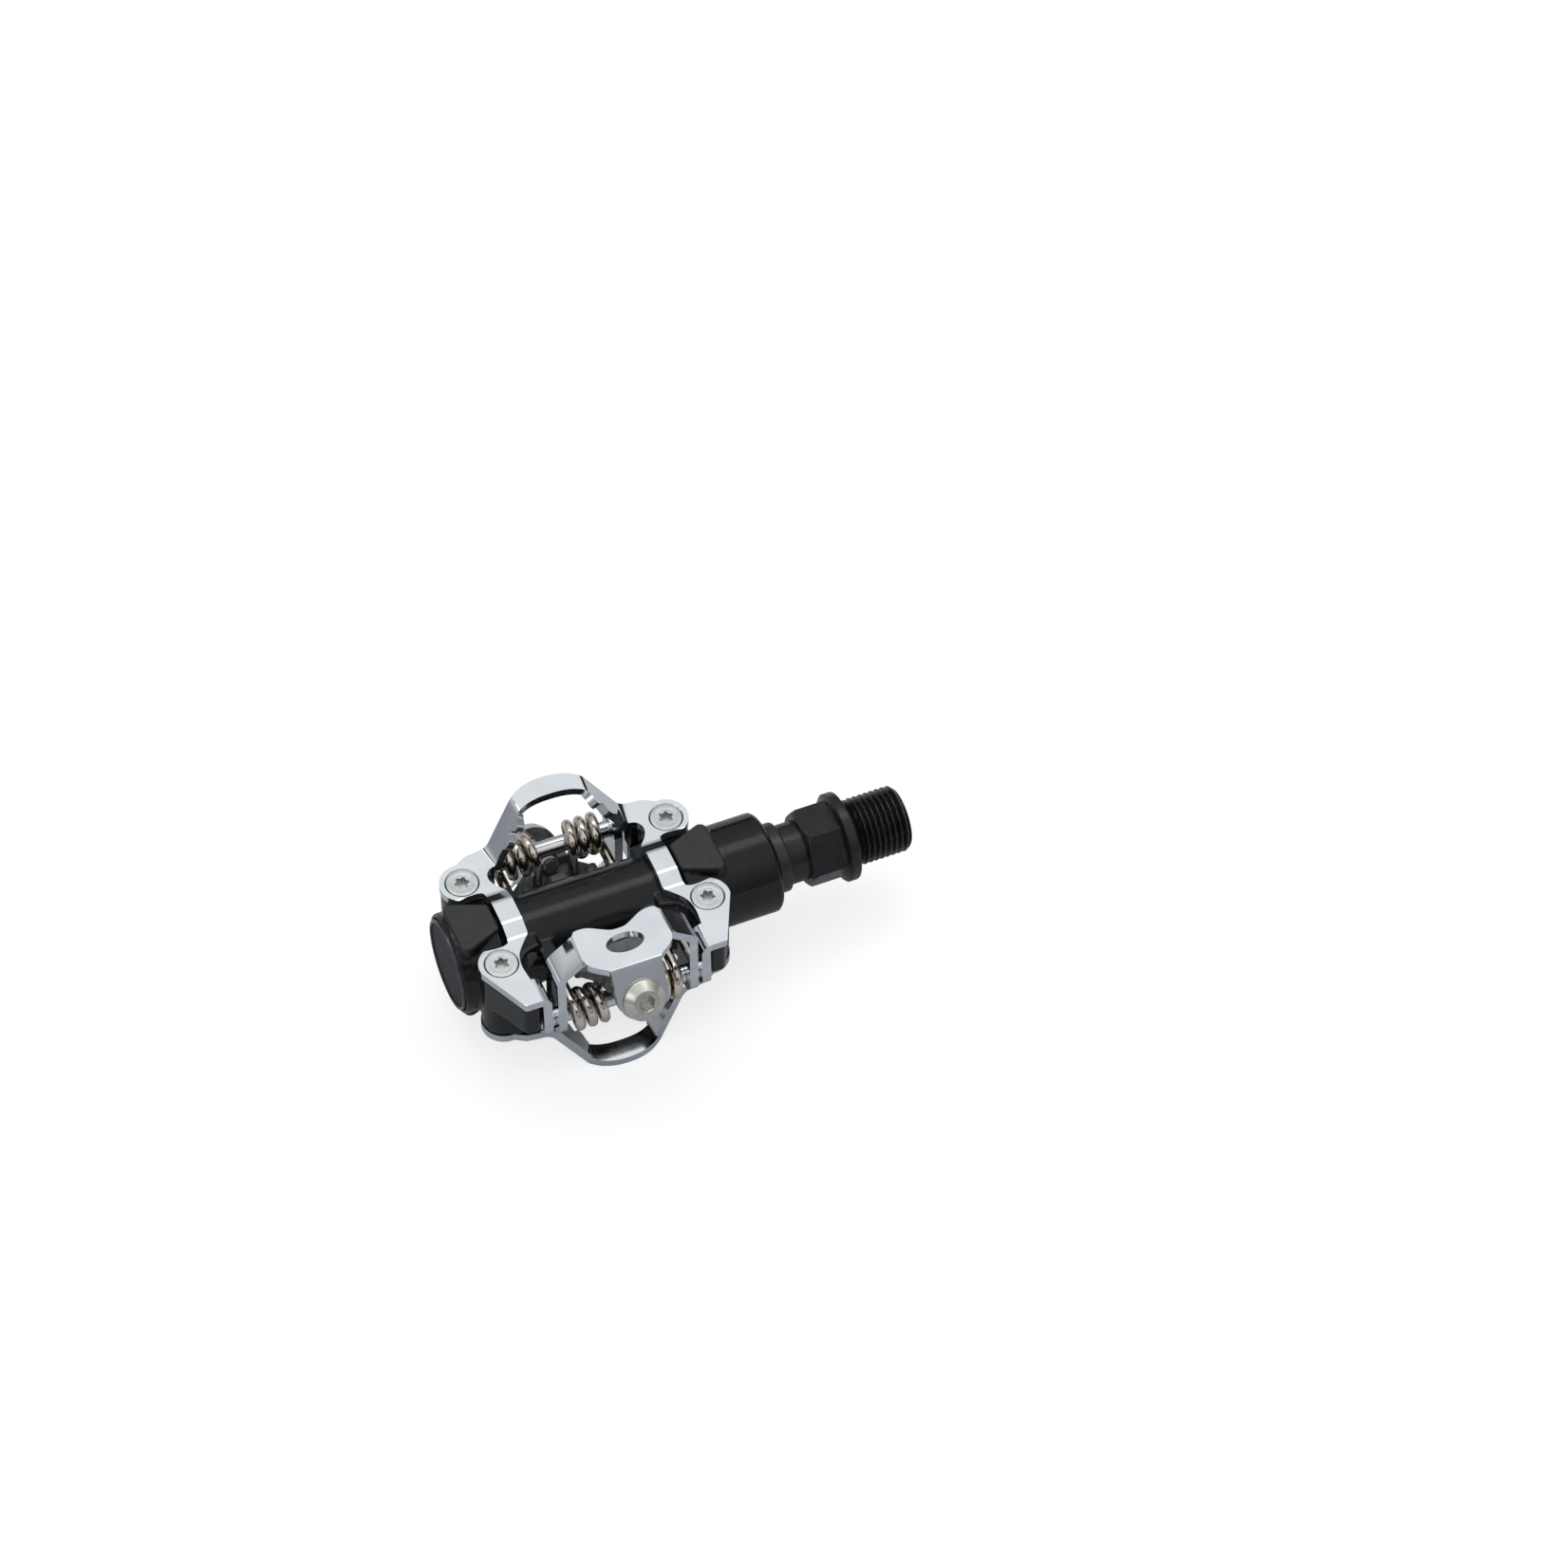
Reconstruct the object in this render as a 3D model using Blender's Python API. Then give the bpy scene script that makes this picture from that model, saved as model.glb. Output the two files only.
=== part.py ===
"""A two-sided clipless pedal for the left crank: spindle, bearings, cast body, plates, springs and claws.

Lengths are in millimetres until a mesh is made, and metres after that.
+X runs along the spindle to the crank, +Y to the top face's hoop, +Z up. The origin is on the spindle axis,
half way along the whole length. Outlines of the platform are given from its own centre.
"""

import math

import bmesh
import bpy
from mathutils import Matrix, Vector

MM = 0.001
PLATFORM_X = -20.15
HALF_LENGTH = 50.76
ROUND = 32
SMALL_ROUND = 16
GAP = 0.3

# plate, one sheet on each face
SHEET = 1.9
PLATE_TOP = 10.2
PLATE_UNDER = PLATE_TOP - SHEET
STRAP_TOP = 11.6
STRAP_IN = 14.8
STRAP_OUT = 19.2
STRAP_FLAT_Y = 2.9
STRAP_FOOT_Y = 6.0
HOOP_TOP = 19.25
HOOP_FOOT_IN = (14.5, 12.7)
HOOP_FOOT_OUT = (14.8, 17.8)
HOOP_INNER = (7.55, 17.3)
HOOP_OUTER = (7.85, 21.2)
HOOP_INNER_R = 15.0
HOOP_OUTER_R = 13.1
CLEAT_LIP = (0, -1.0, 0.3)
CLEAT_LIP_SPAN = (0.50, 0.56, 0.76, 0.84)
EAR_BEND_X = 18.6
EAR_BEND_R = 2.3
EAR_BACK_Y = -17.2
EAR_FRONT_Y = -23.1
EAR_LOBE_R = 3.1

# screws through the plates
SCREW_X = 22.52
SCREW_Y = 11.14
HEAD_R = 3.5
HEAD_DEPTH = 1.9
SHANK_R = 2.0
KEY_R = 1.55
KEY_DIP = 0.45
KEY_DEPTH = 1.6
SCREW_LENGTH = 8.6
BULGE_R = 4.7

# claw, its pin and springs
PIVOT_Y = -20.5
PIN_R = 1.8
PIN_HALF = 18.4
CLAW_SHEET = 1.8
CLAW_TOP = 19.25
CLAW_WALL_X = 15.2
CLAW_WALL_TOP = 15.0
CLAW_LOBE_R = 3.5
CLAW_BACK_Y = -17.0
CLAW_FRONT_Y = -23.4
SHOULDER_BACK = (9.3, -16.6)
SHOULDER_FRONT = (9.5, -23.1)
WINDOW_Y = -22.0
WINDOW_HALF_X = 4.0
WINDOW_HALF_Y = 2.4
TAB_FOLD_Y = -27.8
TAB_HALF = 5.45
TAB_LENGTH = 12.5
TAB_TILT = math.radians(30)
SCREW_ALONG_TAB = 8.2
ADJUSTER_R = 1.8
ADJUSTER_HEAD_R = 4.4
ADJUSTER_HEAD_H = 2.4
ADJUSTER_REACH = 14.6
ADJUSTER_KEY = 3.0
ADJUSTER_KEY_DEPTH = 2.0
ADJUSTER_RIM = 0.6
ADJUSTER_FACE_R = 2.7

# tension plate: a nut block on the screw, a bridge over the coils and a lip that the springs push
NUT_NEAR = 8.5
NUT_FAR = 12.0
NUT_HALF = 5.0
NUT_UP = 2.6
NUT_DOWN = 0.3
NUT_LOBE_R = 2.45
BRIDGE_TOP = 9.5
BRIDGE_UNDER = 7.6
BRIDGE_HALF = 9.2
BRIDGE_BACK_Y = -22.2
LIP_BACK_Y = -15.8
LIP_FRONT_Y = -14.2
LIP_LOW_Z = 3.2
LIP_DIP_Z = 5.8

# springs
COIL_R = 3.4
WIRE_R = 1.1
COIL_IN = 4.0
COIL_OUT = 11.3
COIL_TURNS = 2.75
LEG_UP = 7.3
LEG_BACK_Y = -9.9

# body casting
BODY_TOP = 8.15
BARREL_R = 9.4
SHOULDER_R = 10.75
BODY_INBOARD = 20.2
RIM_X = -50.3
PAD_TOP = 11.3
PAD_OUT = 29.0
PAD_IN = 19.9
PAD_OUT_HALF = 7.0
PAD_IN_HALF = 3.4
PAD_EDGE = 0.5
SCREW_HOLE_R = 2.25
LUG_IN_X = 10.0
LUG_OUT_X = 13.5
LUG_ROOT_Y = 6.0
LUG_OUT_Y = 12.5
LUG_UNDER = COIL_R + WIRE_R + 0.2
LUG_TOP = 7.0
SLEEVE_BORE_R = 7.5
SLEEVE_BORE_X = 8.0
MID_BORE_R = 6.3
RACE_BORE_R = 8.0
RACE_BORE_X = -38.9
CAP_BORE_R = 9.9
CAP_BORE_X = -48.9
CAP_R = 9.6

# spindle
THREAD_R = 7.145
THREAD_PITCH = 25.4 / 20
THREAD_START = 39.2
THREAD_DEPTH = 0.7
RELIEF_R = 6.2
RECESS_R = 7.5
RECESS_DEPTH = 0.3
FLANGE_R = 9.6
FLANGE_X = 35.7
FLANGE_END = 38.0
HEX_ACROSS = 15.0
HEX_TURN = 55.0
HEX_X = 27.7
HEX_CHAMFER = 1.0
NECK_R = 6.45
NECK_X = 19.8
BUSH_SEAT_R = 6.0
SHAFT_R = 5.2
RACE_SEAT_R = 4.0
SPINDLE_END = -48.0
SOCKET_ACROSS = 8.0
SOCKET_DEPTH = 9.0

# bearings
RACE_X = -44.0
RACE_WIDTH = 5.0
BALL_R = 1.15
BALL_COUNT = 10
PITCH_R = 6.05
GROOVE_EDGE = 0.65
CAGE_IN_R = 5.6
CAGE_OUT_R = 6.5
CAGE_HALF = 1.0
WASHER_IN_R = 4.15
WASHER_OUT_R = 5.5
WASHER_THICK = 0.5
NUT_CORNER_R = 5.9
NUT_THICK = 2.85
NUT_GAP = 0.75
BUSH_IN_R = 6.1
BUSH_OUT_R = 7.4
BUSH_END_X = 16.0
SEAL_X = 16.6
SEAL_END_X = 19.0
SEAL_OUT_R = 6.9
SEAL_LIP_R = 6.15
SEAL_BODY_R = 6.5
SLEEVE_X = 16.3
SLEEVE_STEP_X = 19.1
SLEEVE_RIM_X = 20.4
SLEEVE_END_X = 23.4
SLEEVE_OUT_R = 7.5
SLEEVE_IN_R = 6.75


# ---------------------------------------------------------------- helpers


def clear_scene():
    for item in list(bpy.data.objects):
        bpy.data.objects.remove(item)


def material(name, colour, metallic, roughness):
    made = bpy.data.materials.new(name)
    made.use_nodes = True
    shader = made.node_tree.nodes["Principled BSDF"]
    shader.inputs["Base Color"].default_value = (*colour, 1.0)
    shader.inputs["Metallic"].default_value = metallic
    shader.inputs["Roughness"].default_value = roughness
    return made


def mesh_object(name, points, faces, slot=None):
    """A mesh object from points in millimetres, merged and with its normals outward."""
    mesh = bpy.data.meshes.new(name)
    mesh.from_pydata([Vector(p) * MM for p in points], [], faces)
    work = bmesh.new()
    work.from_mesh(mesh)
    bmesh.ops.remove_doubles(work, verts=work.verts, dist=1e-7)
    bmesh.ops.recalc_face_normals(work, faces=work.faces)
    work.to_mesh(mesh)
    work.free()
    item = bpy.data.objects.new(name, mesh)
    bpy.context.scene.collection.objects.link(item)
    if slot:
        mesh.materials.append(slot)
    return item


def settle(item):
    """Replaces the object's mesh by what its modifiers make of it."""
    bpy.context.view_layer.update()
    seen = item.evaluated_get(bpy.context.evaluated_depsgraph_get())
    mesh = bpy.data.meshes.new_from_object(seen)
    item.modifiers.clear()
    item.data = mesh
    mesh.name = item.name


def combine(item, others, operation):
    """One exact Boolean of the object with each of the others, which are then removed."""
    for other in others:
        step = item.modifiers.new(operation.lower(), "BOOLEAN")
        step.operation = operation
        step.solver = "EXACT"
        step.object = other
        settle(item)
        bpy.data.objects.remove(other)
    return item


def set_origin(item, x, y, z):
    """Moves the object's origin to a point, and leaves its shape where it is."""
    point = Vector((x, y, z)) * MM
    item.data.transform(Matrix.Translation(-point))
    item.location = point
    return item


def smooth(item, degrees=35):
    item.data.shade_smooth()
    item.data.set_sharp_from_angle(angle=math.radians(degrees))
    return item


def arc(centre, radius, start, end, steps):
    """Points on an arc, angles in degrees."""
    points = []
    for k in range(steps + 1):
        turn = math.radians(start + (end - start) * k / steps)
        points.append((centre[0] + radius * math.cos(turn), centre[1] + radius * math.sin(turn)))
    return points


def regular(centre, radius, sides, first=0.0):
    return arc(centre, radius, first, first + 360 - 360 / sides, sides - 1)


def full_turn(steps):
    return [2 * math.pi * k / steps for k in range(steps)]


def rounded(corners, steps=4):
    """A closed outline of (x, y, radius) corners, each turned into an arc of that radius."""
    outline = []
    for k, (x, y, radius) in enumerate(corners):
        here = Vector((x, y))
        if radius == 0:
            outline.append((x, y))
            continue
        back = (Vector(corners[k - 1][:2]) - here).normalized()
        ahead = (Vector(corners[(k + 1) % len(corners)][:2]) - here).normalized()
        half = back.angle(ahead) / 2
        centre = here + (back + ahead).normalized() * (radius / math.sin(half))
        first = here + back * (radius / math.tan(half)) - centre
        last = here + ahead * (radius / math.tan(half)) - centre
        sweep = first.angle_signed(last)
        for step in range(steps + 1):
            spot = centre + first @ Matrix.Rotation(sweep * step / steps, 2)
            outline.append((spot.x, spot.y))
    return outline


def prism(name, outline, low, high, slot=None, place=None):
    """The outline pushed from low to high; place turns (u, v, height) into x, y, z."""
    place = place or (lambda u, v, height: (u, v, height))
    count = len(outline)
    points = [place(u, v, low) for u, v in outline] + [place(u, v, high) for u, v in outline]
    faces = [tuple(range(count))[::-1], tuple(range(count, 2 * count))]
    for k in range(count):
        after = (k + 1) % count
        faces.append((k, after, count + after, count + k))
    return mesh_object(name, points, faces, slot)


def along_x(u, v, height):
    return (height, u, v)


def lathe(name, profile, slot=None, segments=ROUND, y=0.0, z=0.0, phase=0.0):
    """The closed (x, radius) profile turned about the line along X through y, z, from phase in degrees."""
    points = []
    rings = []
    for x, radius in profile:
        if radius == 0:
            points.append((x, y, z))
            rings.append([len(points) - 1] * segments)
            continue
        rings.append(list(range(len(points), len(points) + segments)))
        for k in range(segments):
            turn = 2 * math.pi * k / segments + math.radians(phase)
            points.append((x, y + radius * math.cos(turn), z + radius * math.sin(turn)))
    faces = []
    for k, ring in enumerate(rings):
        after = rings[(k + 1) % len(rings)]
        for j in range(segments):
            m = (j + 1) % segments
            corners = list(dict.fromkeys((ring[j], ring[m], after[m], after[j])))
            if len(corners) > 2:
                faces.append(corners)
    return mesh_object(name, points, faces, slot)


def flipped(item, name):
    """A copy for the other face, turned half way round the spindle axis."""
    copy = bpy.data.objects.new(name, item.data.copy())
    bpy.context.scene.collection.objects.link(copy)
    copy.data.transform(Matrix.Rotation(math.pi, 4, "X"))
    copy.location = Matrix.Rotation(math.pi, 3, "X") @ item.location
    return copy


def mirrored(item, name):
    """A copy on the other side of the platform's centre."""
    copy = bpy.data.objects.new(name, item.data.copy())
    bpy.context.scene.collection.objects.link(copy)
    copy.data.transform(Matrix.Scale(-1, 4, (1, 0, 0)))
    copy.data.flip_normals()
    copy.location = (2 * PLATFORM_X * MM - item.location.x, item.location.y, item.location.z)
    return copy


def folded_sheet(name, facets, thickness, slot):
    """A bent sheet from the facets of one half's outer side, mirrored and given its thickness."""
    points = []
    faces = []
    for side in (1, -1):
        for facet in facets:
            start = len(points)
            points += [(PLATFORM_X + side * x, y, z) for x, y, z in facet]
            faces.append(tuple(range(start, start + len(facet))))
    item = mesh_object(name, points, faces, slot)
    top = max(item.data.polygons, key=lambda face: face.center.z)
    if top.normal.z < 0:
        item.data.flip_normals()
    thicken = item.modifiers.new("sheet", "SOLIDIFY")
    thicken.thickness = thickness * MM
    thicken.offset = -1
    thicken.use_even_offset = True
    thicken.use_quality_normals = True
    settle(item)
    return item


def at_height(outline, z):
    return [(x, y, z) for x, y in outline]


# ---------------------------------------------------------------- plates


def front_arm():
    """Outline of the plate's arm beside the claw."""
    return (
        [(STRAP_IN, -STRAP_FOOT_Y), (STRAP_OUT, -STRAP_FOOT_Y), (19.7, -7.1), (22.6, -7.3)]
        + arc((SCREW_X, -SCREW_Y), BULGE_R, 55, -22, 6)
        + [(22.2, -22.4), (21.5, EAR_FRONT_Y), (EAR_BEND_X, EAR_FRONT_Y), (EAR_BEND_X, EAR_BACK_Y)]
        + [(18.9, -13.3), (18.5, -10.6), (17.2, -8.6)]
    )


def back_arm():
    """Outline of the plate's arm beside the hoop."""
    return (
        [(STRAP_OUT, STRAP_FOOT_Y), (STRAP_IN, STRAP_FOOT_Y), (16.6, 8.2), (17.3, 10.5), (16.4, 12.2)]
        + [HOOP_FOOT_IN, HOOP_FOOT_OUT, (20.8, 16.9)]
        + arc((SCREW_X, SCREW_Y), BULGE_R, 62, -55, 8)
        + [(22.6, 7.3), (19.7, 7.1)]
    )


def strap():
    """The plate's bridge over the barrel: up, across and down."""
    steps = [
        (-STRAP_FOOT_Y, PLATE_TOP),
        (-STRAP_FLAT_Y, STRAP_TOP),
        (STRAP_FLAT_Y, STRAP_TOP),
        (STRAP_FOOT_Y, PLATE_TOP),
    ]
    facets = []
    for (y0, z0), (y1, z1) in zip(steps, steps[1:]):
        facets.append([(STRAP_IN, y0, z0), (STRAP_OUT, y0, z0), (STRAP_OUT, y1, z1), (STRAP_IN, y1, z1)])
    return facets


def hoop():
    """Half of the hoop: a leg with its cleat lip, and half of the top band."""
    foot = Vector((*HOOP_FOOT_IN, PLATE_TOP))
    corner = Vector((*HOOP_INNER, HOOP_TOP))
    start, full_from, full_to, end = CLEAT_LIP_SPAN
    inner = [foot, foot.lerp(corner, start)]
    inner += [foot.lerp(corner, share) + Vector(CLEAT_LIP) for share in (full_from, full_to)]
    inner += [foot.lerp(corner, end), corner]
    leg = [(*HOOP_FOOT_OUT, PLATE_TOP)] + [tuple(p) for p in inner] + [(*HOOP_OUTER, HOOP_TOP)]
    outer_half = math.degrees(math.asin(HOOP_OUTER[0] / HOOP_OUTER_R))
    inner_half = math.degrees(math.asin(HOOP_INNER[0] / HOOP_INNER_R))
    outer_centre = (0, HOOP_OUTER[1] - HOOP_OUTER_R * math.cos(math.radians(outer_half)))
    inner_centre = (0, HOOP_INNER[1] - HOOP_INNER_R * math.cos(math.radians(inner_half)))
    band = arc(outer_centre, HOOP_OUTER_R, 90 - outer_half, 90, 5)
    band += arc(inner_centre, HOOP_INNER_R, 90, 90 - inner_half, 5)
    return [leg, at_height(band, HOOP_TOP)]


def ear():
    """The arm's inner edge bent down into a wall that holds the pin."""
    bend = arc((EAR_BEND_X, PLATE_TOP - EAR_BEND_R), EAR_BEND_R, 90, 180, 3)
    facets = []
    for (x0, z0), (x1, z1) in zip(bend, bend[1:]):
        facets.append([(x0, EAR_FRONT_Y, z0), (x0, EAR_BACK_Y, z0), (x1, EAR_BACK_Y, z1), (x1, EAR_FRONT_Y, z1)])
    wall_x, wall_top = bend[-1]
    lobe = arc((PIVOT_Y, 0), EAR_LOBE_R, 180, 360, 8)
    wall = [(EAR_FRONT_Y, wall_top)] + lobe + [(EAR_BACK_Y, wall_top)]
    facets.append([(wall_x, y, z) for y, z in wall])
    return facets


def make_plate(slot):
    facets = [at_height(front_arm(), PLATE_TOP), at_height(back_arm(), PLATE_TOP)] + strap() + hoop() + ear()
    plate = folded_sheet("top_plate", facets, SHEET, slot)
    cutters = []
    for x in (-SCREW_X, SCREW_X):
        for y in (-SCREW_Y, SCREW_Y):
            cutters.append(countersink("hole", PLATFORM_X + x, y))
    hole = PIN_R + GAP / 2
    reach = EAR_BEND_X + 2
    for side in (-1, 1):
        start = PLATFORM_X + side * (EAR_BEND_X - 5)
        end = PLATFORM_X + side * reach
        cutters.append(prism("hole", regular((PIVOT_Y, 0), hole, SMALL_ROUND), start, end, None, along_x))
    combine(plate, cutters, "DIFFERENCE")
    return smooth(plate)


def countersink(name, x, y):
    """A cutter for a countersunk screw hole, its wide end above the plate."""
    wide = HEAD_R + GAP / 2
    narrow = SHANK_R + GAP
    slope = (wide - narrow) / HEAD_DEPTH
    levels = [(PLATE_UNDER - 1, narrow), (PLATE_UNDER, narrow), (PLATE_TOP + 1, wide + slope)]
    return stacked(name, x, y, levels, ROUND)


def stacked(name, x, y, levels, segments, slot=None):
    """A round solid with its axis along Z, from (z, radius) levels."""
    points = []
    for z, radius in levels:
        points += [(px, py, z) for px, py in regular((x, y), radius, segments)]
    faces = [tuple(range(segments))[::-1]]
    for k in range(len(levels) - 1):
        for j in range(segments):
            m = (j + 1) % segments
            low = k * segments
            faces.append((low + j, low + m, low + segments + m, low + segments + j))
    last = (len(levels) - 1) * segments
    faces.append(tuple(range(last, last + segments)))
    return mesh_object(name, points, faces, slot)


def star(radius, dip, lobes=6):
    """Outline of a six-lobed key recess."""
    outline = []
    for k in range(lobes * 2):
        turn = math.pi * k / lobes
        here = radius - dip * (k % 2)
        outline.append((here * math.cos(turn), here * math.sin(turn)))
    return outline


def make_plate_screws(slot):
    """Eight countersunk screws that share one mesh, four on each face."""
    levels = [(PLATE_TOP - SCREW_LENGTH, SHANK_R * 0.7), (PLATE_TOP - SCREW_LENGTH + 0.6, SHANK_R)]
    levels += [(PLATE_TOP - HEAD_DEPTH + 0.1, SHANK_R), (PLATE_TOP - 0.15, HEAD_R), (PLATE_TOP, HEAD_R)]
    first = stacked("screw", 0, 0, levels, 20, slot)
    recess = prism("key", star(KEY_R, KEY_DIP), PLATE_TOP - KEY_DEPTH, PLATE_TOP + 1)
    combine(first, [recess], "DIFFERENCE")
    smooth(first)
    made = 0
    for face, half_turn in (("top", 0.0), ("bottom", math.pi)):
        for end, x in (("cap", -SCREW_X), ("crank", SCREW_X)):
            for side, y in (("claw", -SCREW_Y), ("hoop", SCREW_Y)):
                screw = first if made == 0 else bpy.data.objects.new("screw", first.data)
                screw.name = f"{face}_screw_{end}_{side}"
                if made:
                    bpy.context.scene.collection.objects.link(screw)
                screw.rotation_euler = (half_turn, 0, 0)
                screw.location = Matrix.Rotation(half_turn, 3, "X") @ Vector((PLATFORM_X + x, y, 0)) * MM
                made += 1


# ---------------------------------------------------------------- body


def body_front():
    """Upper half of the casting's arm beside the claw."""
    inner = EAR_BEND_X + 0.1
    return (
        [(13.0, -4.0), (13.0, -8.2), (16.6, -9.2), (18.3, -11.4), (inner, -14.5), (inner, -22.7)]
        + [(21.3, -22.7), (22.0, -22.0)]
        + arc((SCREW_X, -SCREW_Y), BULGE_R - 0.2, -22, 50, 5)
        + [(27.5, -6.6), (27.5, -4.0)]
    )


def body_back():
    """Upper half of the casting's arm beside the hoop."""
    return (
        [(13.0, 4.0), (27.5, 4.0), (27.5, 6.6)]
        + arc((SCREW_X, SCREW_Y), BULGE_R - 0.2, -50, 62, 7)
        + [(20.8, 16.6), (15.3, 16.8), (15.3, 13.1), (16.9, 12.4), (17.6, 10.5), (16.6, 8.8), (13.0, 8.0)]
    )


def pad(side):
    corners = [(PAD_IN, -PAD_IN_HALF, 1.2), (PAD_OUT, -PAD_OUT_HALF, 1.6)]
    corners += [(PAD_OUT, PAD_OUT_HALF, 1.6), (PAD_IN, PAD_IN_HALF, 1.2)]
    outline = [(PLATFORM_X + side * x, y) for x, y in rounded(corners)]
    block = prism("pad", outline, -PAD_TOP, PAD_TOP)
    edge = block.modifiers.new("edge", "BEVEL")
    edge.width = PAD_EDGE * MM
    edge.segments = 1
    edge.limit_method = "ANGLE"
    edge.angle_limit = math.radians(60)
    settle(block)
    return block


def make_body(slot):
    barrel = [(RIM_X, 0), (RIM_X, SHOULDER_R - 0.5), (RIM_X + 0.5, SHOULDER_R)]
    barrel += [(PLATFORM_X - 20.4, SHOULDER_R), (PLATFORM_X - 19.4, BARREL_R)]
    barrel += [(PLATFORM_X + 19.4, BARREL_R), (PLATFORM_X + 20.4, SHOULDER_R)]
    barrel += [(BODY_INBOARD - 1, SHOULDER_R), (BODY_INBOARD, SHOULDER_R - 1), (BODY_INBOARD, 0)]
    body = lathe("body_casting", barrel, slot, 48, phase=3.75)
    parts = []
    for side in (-1, 1):
        for outline in (body_front(), body_back()):
            upper = [(PLATFORM_X + side * x, y) for x, y in outline]
            parts.append(prism("arm", upper, 0, BODY_TOP))
            lower = [(x, -y) for x, y in upper]
            parts.append(prism("arm", lower, -BODY_TOP, 0))
        parts.append(pad(side))
        ends = [PLATFORM_X + side * LUG_IN_X, PLATFORM_X + side * LUG_OUT_X]
        for way in (-1, 1):
            lug = [(x, way * LUG_ROOT_Y) for x in ends] + [(x, way * LUG_OUT_Y) for x in reversed(ends)]
            parts.append(prism("lug", lug, *sorted((-way * LUG_UNDER, -way * LUG_TOP))))
    combine(body, parts, "UNION")
    bore = [(RIM_X - 1, 0), (RIM_X - 1, CAP_BORE_R), (CAP_BORE_X, CAP_BORE_R), (CAP_BORE_X, RACE_BORE_R)]
    bore += [(RACE_BORE_X, RACE_BORE_R), (RACE_BORE_X, MID_BORE_R), (SLEEVE_BORE_X, MID_BORE_R)]
    bore += [(SLEEVE_BORE_X, SLEEVE_BORE_R), (BODY_INBOARD + 1, SLEEVE_BORE_R), (BODY_INBOARD + 1, 0)]
    holes = [lathe("bore", bore, phase=1.7)]
    for x in (-SCREW_X, SCREW_X):
        for y in (-SCREW_Y, SCREW_Y):
            circle = regular((PLATFORM_X + x, y), SCREW_HOLE_R, SMALL_ROUND)
            holes.append(prism("hole", circle, -PLATE_TOP, PLATE_TOP))
    combine(body, holes, "DIFFERENCE")
    return smooth(body, 30)


def make_end_cap(slot):
    """A disc with a shallow groove inside its rim, and a thinner middle at its back."""
    cap = [(-HALF_LENGTH, 0), (-HALF_LENGTH, CAP_R - 1.2), (-HALF_LENGTH + 0.3, CAP_R - 0.9)]
    cap += [(-HALF_LENGTH + 0.1, CAP_R - 0.4), (-HALF_LENGTH + 0.4, CAP_R), (CAP_BORE_X - 0.2, CAP_R)]
    cap += [(CAP_BORE_X - 0.2, CAP_R - 1.8), (SPINDLE_END - 0.4, CAP_R - 1.8), (SPINDLE_END - 0.4, 0)]
    return smooth(lathe("end_cap", cap, slot, ROUND))


# ---------------------------------------------------------------- spindle and bearings


def thread_blank():
    """A left-hand thread, a little longer than the threaded end at both ends."""
    segments = 24
    per_turn = 2
    heights = [0, THREAD_DEPTH]
    start = THREAD_START - THREAD_PITCH
    rings = int((HALF_LENGTH - start) / THREAD_PITCH + 3) * per_turn
    points = []
    for k in range(rings):
        radius = THREAD_R - heights[k % per_turn]
        for j in range(segments):
            turn = 2 * math.pi * j / segments
            x = start + THREAD_PITCH * (k / per_turn - j / segments)
            points.append((x, radius * math.cos(turn), radius * math.sin(turn)))
    return points, segments, rings, per_turn


def make_thread():
    """The helix closed on itself: the last point of a turn meets the first of the next."""
    points, segments, rings, per_turn = thread_blank()
    faces = []
    for k in range(rings - 1):
        for j in range(segments - 1):
            low = k * segments + j
            faces.append((low, low + 1, low + segments + 1, low + segments))
    for k in range(per_turn, rings - 1):
        low = (k - per_turn) * segments
        seam = k * segments + segments - 1
        faces.append((seam, low, low + segments, seam + segments))
    first = list(range(segments))
    step = [k * segments + segments - 1 for k in range(1, per_turn + 1)]
    points.append((points[0][0] - THREAD_PITCH, 0, 0))
    faces += fan(first + step + [0], len(points) - 1)
    last = (rings - 1) * segments
    tail = [last + j for j in range(segments)]
    climb = [(rings - 1 - k) * segments for k in range(per_turn, -1, -1)]
    points.append((points[last][0] + THREAD_PITCH, 0, 0))
    faces += fan(tail + climb, len(points) - 1)
    return mesh_object("thread", points, faces)


def fan(loop, centre):
    return [(a, b, centre) for a, b in zip(loop, loop[1:]) if a != b]


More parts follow.
